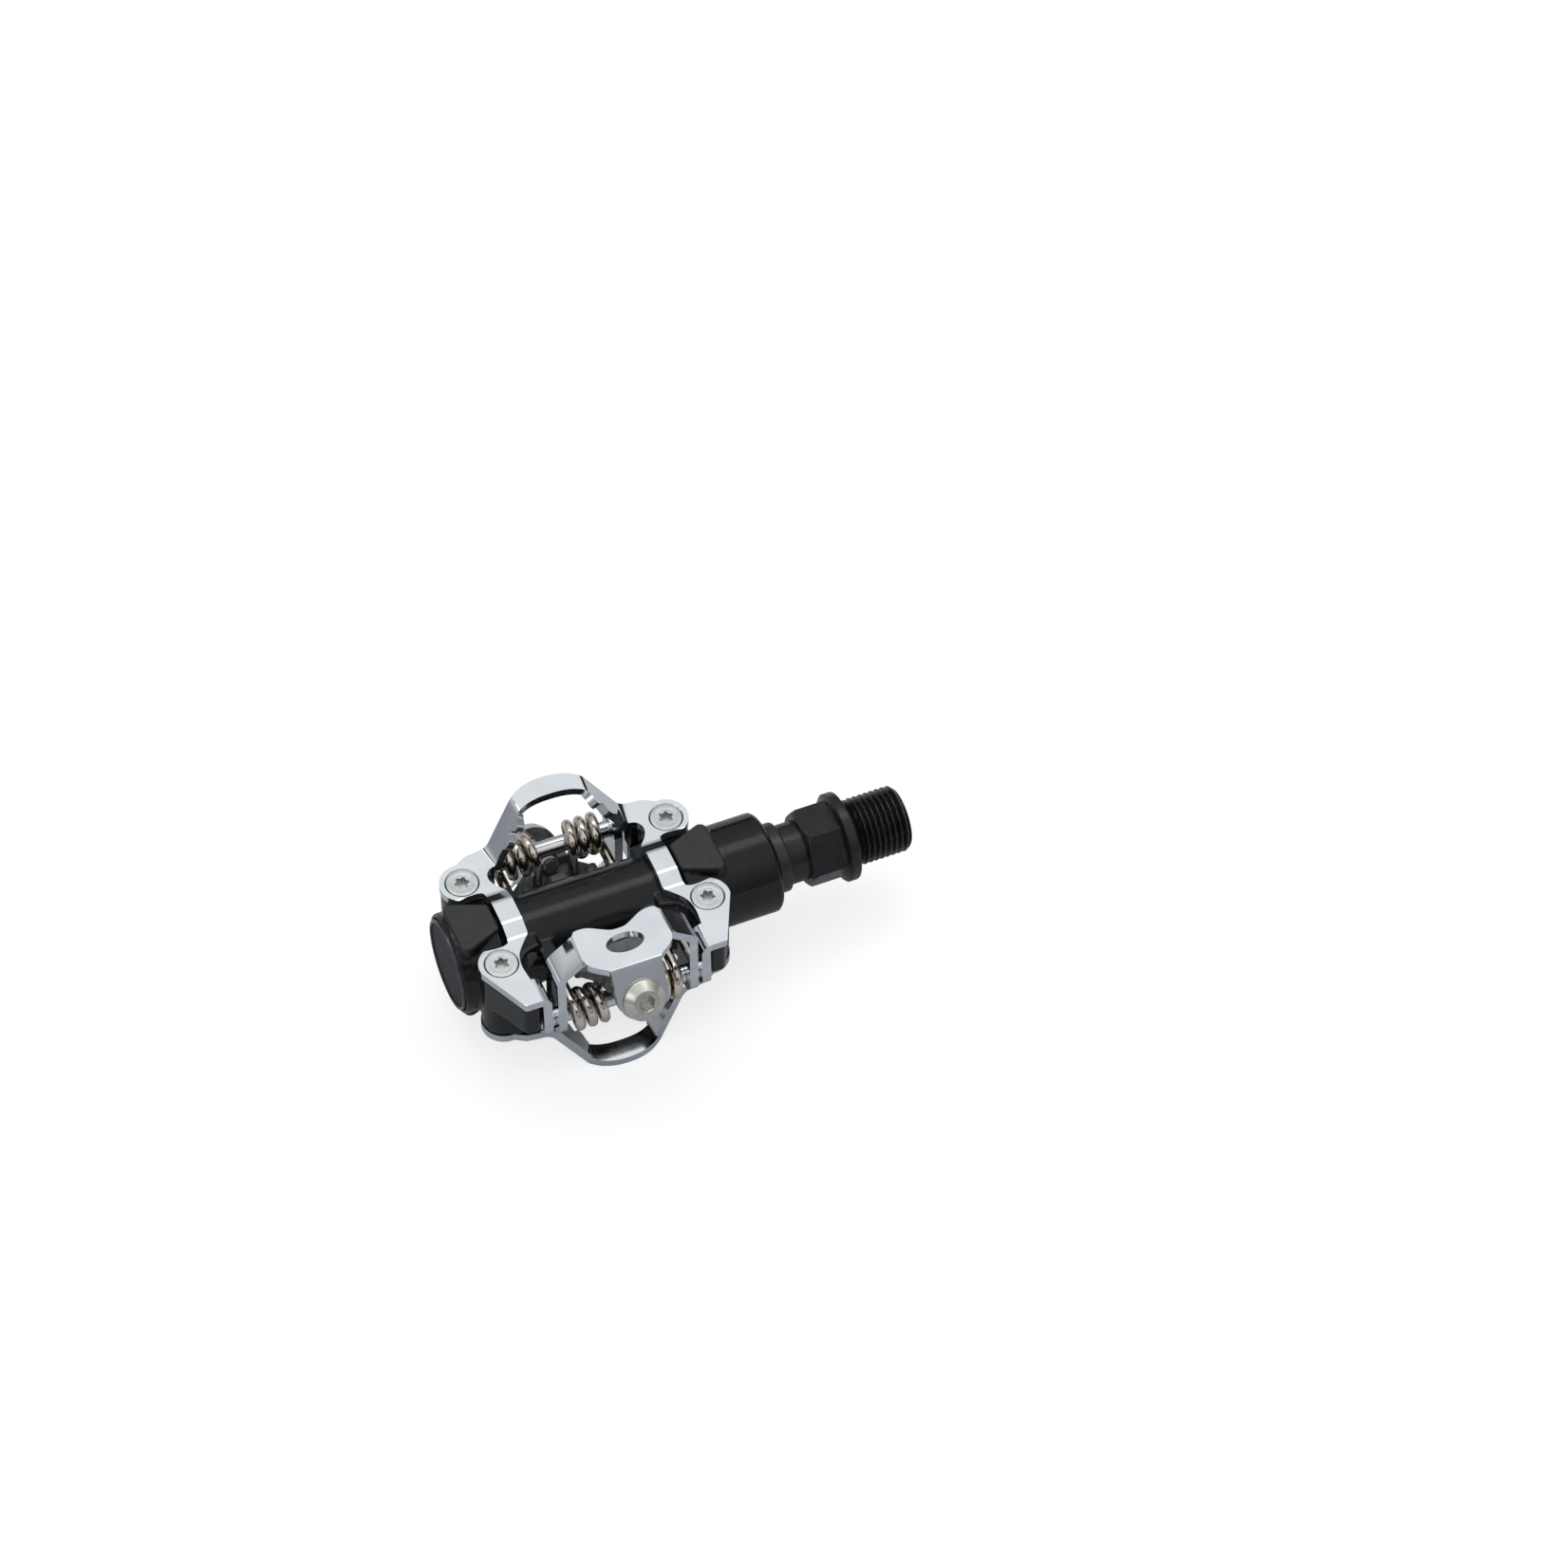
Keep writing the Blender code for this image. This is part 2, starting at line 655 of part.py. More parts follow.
def make_spindle(slot):
    corner = HEX_ACROSS / math.sqrt(3)
    shaft = [(SPINDLE_END, 0), (SPINDLE_END, RACE_SEAT_R - 0.5), (SPINDLE_END + 0.5, RACE_SEAT_R)]
    shaft += [(RACE_X + RACE_WIDTH, RACE_SEAT_R), (RACE_X + RACE_WIDTH, SHAFT_R), (6.4, SHAFT_R)]
    shaft += [(7.2, BUSH_SEAT_R), (NECK_X - 0.5, BUSH_SEAT_R), (NECK_X, NECK_R), (HEX_X, NECK_R)]
    core = HEX_ACROSS / 2 - 0.4
    shaft += [(HEX_X + 0.5, core), (FLANGE_X - 2.7, core), (FLANGE_X - 1.7, core + 0.6)]
    shaft += [(FLANGE_X - 0.8, core + 1.4)]
    shaft += [(FLANGE_X, FLANGE_R - 0.3), (FLANGE_X + 0.3, FLANGE_R), (FLANGE_END - 0.3, FLANGE_R)]
    shaft += [(FLANGE_END, FLANGE_R - 0.3), (FLANGE_END, RECESS_R), (FLANGE_END - RECESS_DEPTH, RECESS_R)]
    shaft += [(FLANGE_END - RECESS_DEPTH, RELIEF_R), (THREAD_START + 1, RELIEF_R), (THREAD_START + 1, 0)]
    spindle = lathe("spindle", shaft, slot)
    outline = regular((0, 0), corner, 6, HEX_TURN)
    hexagon = prism("hex", outline, HEX_X, FLANGE_X + 0.2, None, along_x)
    envelope = [(HEX_X, 0), (HEX_X, corner - HEX_CHAMFER), (HEX_X + HEX_CHAMFER, corner + 0.1)]
    envelope += [(FLANGE_X - 0.6, corner + 0.1), (FLANGE_X + 0.1, corner - 0.4), (FLANGE_X + 0.1, 0)]
    combine(hexagon, [lathe("envelope", envelope, None, 36, phase=5.0)], "INTERSECT")
    ends = [(THREAD_START, 0), (THREAD_START, RELIEF_R), (THREAD_START + 0.9, THREAD_R + 0.1)]
    ends += [(HALF_LENGTH - 0.9, THREAD_R + 0.1), (HALF_LENGTH, RELIEF_R), (HALF_LENGTH, 0)]
    thread = make_thread()
    combine(thread, [lathe("ends", ends, phase=2.3)], "INTERSECT")
    combine(spindle, [hexagon, thread], "UNION")
    key = regular((0, 0), SOCKET_ACROSS / math.sqrt(3), 6)
    socket = prism("socket", key, HALF_LENGTH - SOCKET_DEPTH, HALF_LENGTH + 1, None, along_x)
    combine(spindle, [socket], "DIFFERENCE")
    return smooth(spindle, 30)


def groove(side):
    """Half-round track for the balls in the inner (-1) or outer (+1) race."""
    middle = RACE_X + RACE_WIDTH / 2
    clear = BALL_R + 0.1
    half = math.degrees(math.asin(GROOVE_EDGE / clear))
    return arc((middle, PITCH_R), clear, side * half, side * (180 - half), 4)


def make_races(steel):
    end = RACE_X + RACE_WIDTH
    low = RACE_SEAT_R + 0.05
    edge = PITCH_R - GROOVE_EDGE
    inner = [(end - 0.1, low), (end - 0.1, edge)] + groove(-1) + [(RACE_X, edge), (RACE_X, low)]
    smooth(lathe("bearing_inner_race", inner, steel))
    high = RACE_BORE_R - 0.1
    edge = PITCH_R + GROOVE_EDGE
    outer = [(end, high), (end, edge)] + groove(1) + [(RACE_X, edge), (RACE_X, high)]
    smooth(lathe("bearing_outer_race", outer, steel))


def make_balls(steel):
    """Ten balls, joined by their cage ring."""
    middle = RACE_X + RACE_WIDTH / 2
    ring = [(middle - CAGE_HALF, CAGE_IN_R), (middle + CAGE_HALF, CAGE_IN_R)]
    ring += [(middle + CAGE_HALF, CAGE_OUT_R), (middle - CAGE_HALF, CAGE_OUT_R)]
    cage = lathe("bearing_balls", ring, steel)
    spots = [(middle - BALL_R, 0)] + arc((middle, 0), BALL_R, 150, 30, 3) + [(middle + BALL_R, 0)]
    balls = []
    for turn in full_turn(BALL_COUNT):
        balls.append(lathe("ball", spots, None, 8, PITCH_R * math.cos(turn), PITCH_R * math.sin(turn)))
    combine(cage, balls, "UNION")
    smooth(cage)


def make_locknut(steel):
    """The nut and washer that hold the bearing on the spindle's outboard end."""
    far = RACE_X - 0.1 - WASHER_THICK
    washer = [(far, WASHER_IN_R), (RACE_X - 0.1, WASHER_IN_R)]
    washer += [(RACE_X - 0.1, WASHER_OUT_R), (far, WASHER_OUT_R)]
    smooth(lathe("lock_washer", washer, steel))
    near = RACE_X - NUT_GAP
    nut = prism("spindle_locknut", regular((0, 0), NUT_CORNER_R, 6), near - NUT_THICK, near, steel, along_x)
    ring = regular((0, 0), RACE_SEAT_R + GAP / 2, ROUND)
    combine(nut, [prism("hole", ring, near - NUT_THICK - 1, near + 1, None, along_x)], "DIFFERENCE")
    smooth(nut)


def make_inboard(polymer, rubber, brass):
    """Bush, seal and lock sleeve round the spindle's neck."""
    start = SLEEVE_BORE_X + 0.2
    bush = [(start, BUSH_IN_R), (BUSH_END_X, BUSH_IN_R), (BUSH_END_X, BUSH_OUT_R), (start, BUSH_OUT_R)]
    smooth(lathe("inboard_bush", bush, brass))
    seal = [(SEAL_X, SEAL_LIP_R), (SEAL_X + 0.6, SEAL_BODY_R), (SEAL_END_X - 0.6, SEAL_BODY_R)]
    seal += [(SEAL_END_X, SEAL_LIP_R), (SEAL_END_X, SEAL_OUT_R), (SEAL_X, SEAL_OUT_R)]
    smooth(lathe("inboard_seal", seal, rubber))
    sleeve = [(SLEEVE_X, SLEEVE_OUT_R - 0.5), (SLEEVE_STEP_X, SLEEVE_OUT_R - 0.5), (SLEEVE_STEP_X, SLEEVE_IN_R)]
    sleeve += [(SLEEVE_END_X, SLEEVE_IN_R), (SLEEVE_END_X, SLEEVE_OUT_R - 0.3), (SLEEVE_END_X - 0.3, SLEEVE_OUT_R)]
    sleeve += [(SLEEVE_RIM_X, SLEEVE_OUT_R), (SLEEVE_RIM_X, SLEEVE_OUT_R - 0.2), (SLEEVE_X, SLEEVE_OUT_R - 0.2)]
    smooth(lathe("lock_sleeve", sleeve, polymer))


# ---------------------------------------------------------------- claw


def tab_point(across, down, outward=0.0):
    """A place on the claw's front tab: across it, down it from the fold, and out from its face."""
    y = TAB_FOLD_Y - down * math.sin(TAB_TILT) - outward * math.cos(TAB_TILT)
    z = CLAW_TOP - down * math.cos(TAB_TILT) + outward * math.sin(TAB_TILT)
    return (across, y, z)


def claw_facets():
    """The outer side of half a claw: roof, shoulder, side wall and front tab."""
    roof = [(0, -18.3), (1.6, -18.1), (3.4, -17.2), (5.4, -16.1), (7.0, -15.7), (8.6, -15.8)]
    roof += [SHOULDER_BACK, SHOULDER_FRONT]
    roof += [(9.3, -24.2), (8.6, -25.3), (7.4, -26.3), (6.2, -27.1), (TAB_HALF, TAB_FOLD_Y), (0, TAB_FOLD_Y)]
    shoulder = [(*SHOULDER_BACK, CLAW_TOP), (*SHOULDER_FRONT, CLAW_TOP)]
    shoulder += [(CLAW_WALL_X, CLAW_FRONT_Y, CLAW_WALL_TOP), (CLAW_WALL_X, CLAW_BACK_Y, CLAW_WALL_TOP)]
    lobe = arc((PIVOT_Y, 0), CLAW_LOBE_R, 180, 360, 8)
    wall = [(CLAW_FRONT_Y, CLAW_WALL_TOP)] + lobe + [(CLAW_BACK_Y, CLAW_WALL_TOP)]
    straight = TAB_LENGTH - TAB_HALF
    tab = [(0, 0), (TAB_HALF, 0)] + [
        (x, straight - y) for x, y in arc((0, 0), TAB_HALF, 0, -90, 6)
    ]
    return [
        at_height(roof, CLAW_TOP),
        shoulder,
        [(CLAW_WALL_X, y, z) for y, z in wall],
        [tab_point(across, down) for across, down in tab],
    ]


def make_claw(slot):
    claw = folded_sheet("top_claw", claw_facets(), CLAW_SHEET, slot)
    window = [
        (PLATFORM_X + WINDOW_HALF_X * math.cos(turn), WINDOW_Y + WINDOW_HALF_Y * math.sin(turn))
        for turn in full_turn(20)
    ]
    cutters = [prism("window", window, CLAW_TOP - 4, CLAW_TOP + 1)]
    circle = regular((PIVOT_Y, 0), PIN_R + 0.25, SMALL_ROUND)
    for side in (-1, 1):
        wall = [PLATFORM_X + side * (CLAW_WALL_X - 4), PLATFORM_X + side * (CLAW_WALL_X + 1)]
        cutters.append(prism("hole", circle, wall[0], wall[1], None, along_x))
    cutters.append(on_screw_axis("hole", [(-4, ADJUSTER_R + 0.25), (1, ADJUSTER_R + 0.25)], SMALL_ROUND))
    combine(claw, cutters, "DIFFERENCE")
    set_origin(claw, PLATFORM_X, PIVOT_Y, 0)
    return smooth(claw)


def screw_axis_place(u, v, outward):
    """A place by the tension screw: u across, v up the tab, outward from the tab's face."""
    return tab_point(PLATFORM_X + u, SCREW_ALONG_TAB - v, outward)


def on_screw_axis(name, levels, segments, slot=None):
    """A round solid on the tension screw's axis, from (distance outward, radius) levels."""
    points = []
    for outward, radius in levels:
        points += [screw_axis_place(u, v, outward) for u, v in regular((0, 0), radius, segments)]
    faces = [tuple(range(segments))]
    for k in range(len(levels) - 1):
        for j in range(segments):
            m = (j + 1) % segments
            low = k * segments
            faces.append((low + j, low + m, low + segments + m, low + segments + j))
    last = (len(levels) - 1) * segments
    faces.append(tuple(range(last, last + segments)))
    return mesh_object(name, points, faces, slot)


def make_adjuster(slot):
    levels = [(-ADJUSTER_REACH, ADJUSTER_R * 0.75), (-ADJUSTER_REACH + 0.5, ADJUSTER_R), (0.12, ADJUSTER_R)]
    levels += [(0.13, ADJUSTER_HEAD_R), (ADJUSTER_RIM, ADJUSTER_HEAD_R), (ADJUSTER_HEAD_H, ADJUSTER_FACE_R)]
    screw = on_screw_axis("top_adjuster_screw", levels, 24, slot)
    key = regular((0, 0), ADJUSTER_KEY / math.sqrt(3), 6)
    socket = prism(
        "socket", key, ADJUSTER_HEAD_H - ADJUSTER_KEY_DEPTH, ADJUSTER_HEAD_H + 1, None, screw_axis_place
    )
    combine(screw, [socket], "DIFFERENCE")
    set_origin(screw, *screw_axis_place(0, 0, 0))
    return smooth(screw)


def nut_block():
    """The tension plate's block round its screw, with a rounded lobe below the hole."""
    lobe = arc((0, 0), NUT_LOBE_R, 190, 350, 8)
    corners = [(NUT_LOBE_R + 0.1, -NUT_DOWN, 0), (NUT_HALF, -NUT_DOWN, 0.8), (NUT_HALF, NUT_UP, 0.8)]
    half = rounded(corners + [(0, NUT_UP, 0)], 3)[:-1]
    return prism("nut", lobe + both_halves(half), -NUT_FAR, -NUT_NEAR, None, screw_axis_place)


def bridge_outline():
    """Half of the tension plate's bridge over the coils, in plan."""
    corners = [(NUT_HALF - 0.5, BRIDGE_BACK_Y, 0), (BRIDGE_HALF, BRIDGE_BACK_Y + 4.0, 1.5)]
    return rounded(corners + [(BRIDGE_HALF, LIP_FRONT_Y, 0.8), (0, LIP_FRONT_Y, 0)], 3)[:-1]


def lip_outline():
    """Half of the tension plate's lip: a middle hump, a dip where the spring leg passes, and a prong."""
    corners = [(1.9, LIP_LOW_Z, 1.2), (3.3, LIP_DIP_Z, 0.8), (5.6, LIP_DIP_Z, 0.8), (6.3, LIP_LOW_Z, 0.9)]
    corners += [(8.5, LIP_LOW_Z, 0.9), (BRIDGE_HALF - 0.4, BRIDGE_UNDER + 0.5, 0), (8.0, BRIDGE_TOP - 0.3, 0)]
    return rounded([(0, LIP_LOW_Z, 0)] + corners + [(0, BRIDGE_TOP - 0.3, 0)], 4)[1:-1]


def both_halves(half):
    return half + [(-x, y) for x, y in reversed(half)]


def across_lip(u, v, depth):
    return (PLATFORM_X + u, depth, v)


def make_tension_plate(slot):
    """The cast hook that the screw draws towards the tab, with the spring legs behind its lip."""
    over = [(PLATFORM_X + x, y) for x, y in both_halves(bridge_outline())]
    plate = prism("top_tension_plate", over, BRIDGE_UNDER, BRIDGE_TOP, slot)
    lip = prism("lip", both_halves(lip_outline()), LIP_BACK_Y, LIP_FRONT_Y + 0.1, None, across_lip)
    combine(plate, [nut_block(), lip], "UNION")
    bore = ADJUSTER_R + 0.1
    combine(plate, [on_screw_axis("hole", [(-NUT_FAR - 3, bore), (-NUT_NEAR + 1, bore)], 24)], "DIFFERENCE")
    set_origin(plate, *screw_axis_place(0, 0, -NUT_NEAR))
    return smooth(plate)


# ---------------------------------------------------------------- pin and springs


def make_pin(slot):
    left = PLATFORM_X - PIN_HALF
    right = PLATFORM_X + PIN_HALF
    ends = [(left, 0), (left, PIN_R - 0.3), (left + 0.3, PIN_R)]
    ends += [(right - 0.3, PIN_R), (right, PIN_R - 0.3), (right, 0)]
    return smooth(lathe("top_pivot_pin", ends, slot, SMALL_ROUND, PIVOT_Y))


def spring_path():
    """Centre line of a torsion spring: a leg up behind the lip, the coil, and a leg under the body's lug."""
    first = math.pi / 2
    last = first + 2 * math.pi * COIL_TURNS
    path = [Vector((COIL_OUT, LEG_BACK_Y, COIL_R)), Vector((COIL_OUT, (PIVOT_Y + LEG_BACK_Y) / 2, COIL_R))]
    steps = 12 * COIL_TURNS
    for k in range(int(steps) + 1):
        turn = first + (last - first) * k / steps
        x = COIL_OUT + (COIL_IN - COIL_OUT) * k / steps
        path.append(Vector((x, PIVOT_Y + COIL_R * math.cos(turn), COIL_R * math.sin(turn))))
    path.append(Vector((COIL_IN, PIVOT_Y + COIL_R, LEG_UP / 2)))
    path.append(Vector((COIL_IN, PIVOT_Y + COIL_R, LEG_UP)))
    return path


def make_spring(slot, sides=6):
    """The wire swept along the path, each ring facing along the path at its own place."""
    path = spring_path()
    points = []
    for k, spot in enumerate(path):
        ahead = path[min(k + 1, len(path) - 1)] - path[max(k - 1, 0)]
        ahead.normalize()
        across = (Vector((1, 0, 0)) - ahead * ahead.x).normalized()
        other = ahead.cross(across)
        for turn in full_turn(sides):
            spoke = across * math.cos(turn) + other * math.sin(turn)
            points.append(Vector((PLATFORM_X, 0, 0)) + spot + spoke * WIRE_R)
    faces = [tuple(range(sides))]
    for k in range(len(path) - 1):
        for j in range(sides):
            m = (j + 1) % sides
            faces.append((k * sides + j, k * sides + m, (k + 1) * sides + m, (k + 1) * sides + j))
    last = (len(path) - 1) * sides
    faces.append(tuple(range(last, last + sides)))
    spring = mesh_object("top_spring_crank", points, faces, slot)
    set_origin(spring, PLATFORM_X, PIVOT_Y, 0)
    return smooth(spring)


# ---------------------------------------------------------------- build


def main():
    clear_scene()
    chrome = material("chrome_steel", (0.78, 0.80, 0.83), 1.0, 0.12)
    zinc = material("zinc_steel", (0.62, 0.64, 0.62), 1.0, 0.38)
    nickel = material("nickel_steel", (0.60, 0.54, 0.47), 1.0, 0.22)
    black = material("black_casting", (0.012, 0.012, 0.014), 0.0, 0.25)
    grey = material("grey_cap", (0.06, 0.06, 0.065), 0.0, 0.45)
    oxide = material("black_oxide_steel", (0.02, 0.02, 0.022), 0.8, 0.35)
    cast = material("cast_steel", (0.12, 0.12, 0.125), 0.8, 0.55)
    steel = material("bearing_steel", (0.55, 0.56, 0.57), 1.0, 0.2)
    polymer = material("black_polymer", (0.015, 0.015, 0.015), 0.0, 0.4)
    rubber = material("black_rubber", (0.02, 0.02, 0.02), 0.0, 0.7)
    bronze = material("bronze", (0.45, 0.30, 0.14), 1.0, 0.35)

    make_spindle(oxide)
    make_races(steel)
    make_balls(steel)
    make_locknut(steel)
    make_inboard(polymer, rubber, bronze)
    make_body(black)
    make_end_cap(grey)
    flipped(make_plate(chrome), "bottom_plate")
    make_plate_screws(zinc)
    flipped(make_pin(nickel), "bottom_pivot_pin")
    spring = make_spring(nickel)
    other = mirrored(spring, "top_spring_cap")
    flipped(spring, "bottom_spring_crank")
    flipped(other, "bottom_spring_cap")
    flipped(make_claw(chrome), "bottom_claw")
    flipped(make_adjuster(zinc), "bottom_adjuster_screw")
    flipped(make_tension_plate(cast), "bottom_tension_plate")


main()
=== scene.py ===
"""Looks of a two-sided clipless pedal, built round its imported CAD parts.

Shapes are given in millimetres in the CAD's own frame: +X runs along the spindle to the crank, +Y to the
top face's hoop, +Z up. Outlines of the platform are given from its own centre, at PLATFORM_X. The bottom
face is the top face turned half way round the spindle.
"""

import math

import bmesh
import bpy
from mathutils import Matrix, Vector


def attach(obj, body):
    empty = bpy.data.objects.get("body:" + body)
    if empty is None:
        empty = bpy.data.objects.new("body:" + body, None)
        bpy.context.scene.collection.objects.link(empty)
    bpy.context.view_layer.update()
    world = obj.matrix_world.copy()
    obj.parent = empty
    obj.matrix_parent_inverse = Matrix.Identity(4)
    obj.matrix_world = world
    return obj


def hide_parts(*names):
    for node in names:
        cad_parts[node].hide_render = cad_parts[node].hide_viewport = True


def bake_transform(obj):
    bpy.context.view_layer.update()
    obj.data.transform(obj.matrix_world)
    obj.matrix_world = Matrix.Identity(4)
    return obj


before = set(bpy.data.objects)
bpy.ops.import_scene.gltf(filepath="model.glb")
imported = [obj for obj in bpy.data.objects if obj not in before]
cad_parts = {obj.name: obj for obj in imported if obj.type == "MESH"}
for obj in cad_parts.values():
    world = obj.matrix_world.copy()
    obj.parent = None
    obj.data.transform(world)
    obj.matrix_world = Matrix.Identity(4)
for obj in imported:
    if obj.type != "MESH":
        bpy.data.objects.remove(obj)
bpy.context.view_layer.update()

MM = 0.001
PLATFORM_X = -20.15
HALF_LENGTH = 50.76
GAP = 0.3

# plate
SHEET = 1.9
PLATE_TOP = 10.2
STRAP_TOP = 11.6
STRAP_IN = 14.8
STRAP_OUT = 19.2
STRAP_FLAT_Y = 2.9
STRAP_FOOT_Y = 6.0
HOOP_TOP = 19.25
HOOP_OUTER = (7.85, 21.2)
HOOP_INNER = (7.55, 17.3)
HOOP_TEETH = (
    (0.0, 0.0), (0.16, -0.2), (0.30, 0.1), (0.38, 0.9), (0.46, 1.2), (0.53, 1.0), (0.57, 0.3), (0.62, 0.1),
    (0.67, 0.6), (0.73, 1.5), (0.80, 1.7), (0.86, 1.4), (0.90, 0.4),
)
EAR_BEND_X = 18.6
EAR_BEND_R = 2.3
EAR_BACK_Y = -17.2
EAR_FRONT_Y = -23.1
EAR_LOBE_R = 3.1
FOLD_R = 2.6
PLATE_EDGE = 0.42

# screws through the plates
SCREW_X = 22.52
SCREW_Y = 11.14
HEAD_R = 3.5
HEAD_DEPTH = 1.9
HEAD_GAP = 0.16
SHANK_R = 2.0
SCREW_LENGTH = 8.6
SCREW_BORE_R = 2.25
LOBES_R = 1.62
LOBES_DIP = 0.48
LOBES_DEPTH = 1.6
BULGE_R = 4.7

# claw, its pin and springs
PIVOT_Y = -20.5
PIN_R = 1.8
PIN_HALF = 18.4
CLAW_SHEET = 1.8
CLAW_TOP = 19.25
CLAW_WALL_X = 15.2
CLAW_WALL_TOP = 15.0
CLAW_LOBE_R = 3.5
CLAW_EDGE = 0.40
CLAW_PLAY = 0.25
WINDOW_Y = -22.0
WINDOW_HALF = (4.0, 2.4)
TAB_FOLD_Y = -27.8
TAB_HALF = 5.45
TAB_LENGTH = 12.5
TAB_TILT = math.radians(30)
SCREW_ALONG_TAB = 8.2
ADJUSTER_R = 1.8
ADJUSTER_HEAD_R = 4.4
ADJUSTER_HEAD_H = 2.4
ADJUSTER_REACH = 14.6
ADJUSTER_KEY = 3.0
ADJUSTER_KEY_DEPTH = 2.0
COIL_R = 3.4
WIRE_R = 1.1
COIL_IN = 4.0
COIL_OUT = 11.3
COIL_TURNS = 2.75
LEG_UP = 7.3
LEG_BACK_Y = -9.9

# tension plate
NUT_NEAR = 8.5
NUT_FAR = 12.0
NUT_HALF = 5.0
NUT_UP = 2.6
NUT_DOWN = 0.3
NUT_LOBE_R = 2.45
BRIDGE_TOP = 9.5
BRIDGE_UNDER = 7.6
BRIDGE_HALF = 9.2
BRIDGE_BACK_Y = -22.2
LIP_BACK_Y = -15.8
LIP_FRONT_Y = -14.2
LIP_LOW_Z = 3.2
LIP_DIP_Z = 5.8
PLATE_VOXEL = 0.17

# body
BODY_TOP = 8.15
BARREL_R = 9.4
SHOULDER_R = 10.75
BODY_INBOARD = 20.2
RIM_X = -50.3
PAD_TOP = 11.3
PAD_OUT = 29.0
PAD_IN = 19.9
PAD_OUT_HALF = 7.0
PAD_IN_HALF = 3.4
PAD_FOOT = 8.0
PAD_EDGE = 0.55
FOOT_DROP = 0.9
LUG_IN_X = 10.0
LUG_OUT_X = 13.5
LUG_ROOT_Y = 6.0
LUG_OUT_Y = 12.5
LUG_UNDER = 4.7
LUG_TOP = 7.0
CAP_BORE_R = 9.9
CAP_BORE_X = -48.9
BODY_BORE_R = 7.5
BODY_VOXEL = 0.34

# end cap and lock sleeve
CAP_R = 9.0
CAP_BACK_X = -48.4
CAP_RIM_IN_R = 9.05
CAP_RIM_OUT_R = 9.75
SLEEVE_X = 16.3
SLEEVE_IN_R = 6.75
SLEEVE_OUT_R = 7.3
SLEEVE_LIP_R = 7.5

# spindle
THREAD_R = 7.145
THREAD_PITCH = 25.4 / 20
THREAD_START = 39.2
THREAD_DEPTH = 0.75
RELIEF_R = 6.2
FLANGE_R = 9.6
FLANGE_X = 35.7
FLANGE_END = 38.0
HEX_ACROSS = 15.0
HEX_TURN = 55.0
HEX_X = 27.7
NECK_R = 6.45
NECK_X = 19.8
SHAFT_R = 5.9
SHAFT_X = 10.0
SOCKET_ACROSS = 8.0
SOCKET_DEPTH = 9.0

# camera and floor
VIEW_TURN = math.radians(-22.64)
VIEW_RISE = math.radians(52.16)
VIEW_ROLL = math.radians(-0.13)
VIEW_DISTANCE = 1000.0
LENS = 111.0
AIM_RIGHT = 22.3
AIM_UP = 22.0
FLOOR_Z = -19.3
FLOOR_R = 3000
TABLE_R = 380
SKY_STRENGTH = 1.05
# height up the sky, from the horizon to straight up, and its colour there; the first two are its ends
SKY = (
    (0.0, (0.26, 0.275, 0.30)),
    (0.80, (0.86, 0.88, 0.90)),
    (0.30, (0.34, 0.34 * 1.03, 0.34 * 1.07)),
    (0.62, (0.62, 0.62 * 1.03, 0.62 * 1.07)),
)
# name, azimuth and elevation in degrees, distance, (width, height)
DARK_CARDS = (
    ("card_back_right", 33, 14, 560, (400, 320)),
    ("card_back", 84, 6, 560, (360, 120)),
    ("card_back_left", 125, 46, 560, (190, 70)),
    ("card_camera", -104, 37, 620, (420, 170)),
)
# name, azimuth and elevation in degrees, distance, (width, height), brightness
PANELS = (
    ("panel_top", 78, 71, 900, (900, 300), 1.55),
    ("panel_left", -170, 30, 900, (160, 420), 1.6),
    ("panel_right", -20, 40, 900, (120, 420), 1.4),
)


# ---------------------------------------------------------------- mesh helpers


def mesh_object(name, points, faces):
    """A mesh object from points in millimetres, with its normals outward."""
    mesh = bpy.data.meshes.new(name)
    mesh.from_pydata([Vector(p) * MM for p in points], [], faces)
    work = bmesh.new()
    work.from_mesh(mesh)
    bmesh.ops.remove_doubles(work, verts=work.verts, dist=1e-7)
    bmesh.ops.recalc_face_normals(work, faces=work.faces)
    work.to_mesh(mesh)
    work.free()
    item = bpy.data.objects.new(name, mesh)
    bpy.context.scene.collection.objects.link(item)
    return item


def settle(item):
    """Replaces the object's mesh by what its modifiers make of it."""
    bpy.context.view_layer.update()
    seen = item.evaluated_get(bpy.context.evaluated_depsgraph_get())
    mesh = bpy.data.meshes.new_from_object(seen)
    item.modifiers.clear()
    item.data = mesh
    mesh.name = item.name


def combine(item, others, operation):
    """One exact Boolean of the object with each of the others, which are then removed."""
    for other in others:
        step = item.modifiers.new(operation.lower(), "BOOLEAN")
        step.operation = operation
        step.solver = "EXACT"
        step.object = other
        settle(item)
        bpy.data.objects.remove(other)
    return item


def round_edges(item, width, segments=2, degrees=35):
    """Rounds the edges that turn by more than the angle."""
    edge = item.modifiers.new("edge", "BEVEL")
    edge.width = width * MM
    edge.segments = segments
    edge.limit_method = "ANGLE"
    edge.angle_limit = math.radians(degrees)
    edge.use_clamp_overlap = True
    edge.miter_outer = "MITER_ARC"
    settle(item)
    return item


def even_shading(item, degrees=40):
    """Smooth shading with flat faces kept flat, and sharp edges only above the angle."""
    item.data.shade_smooth()
    item.data.set_sharp_from_angle(angle=math.radians(degrees))
    weigh = item.modifiers.new("weigh", "WEIGHTED_NORMAL")
    weigh.keep_sharp = True
    weigh.weight = 100
    settle(item)
    return item


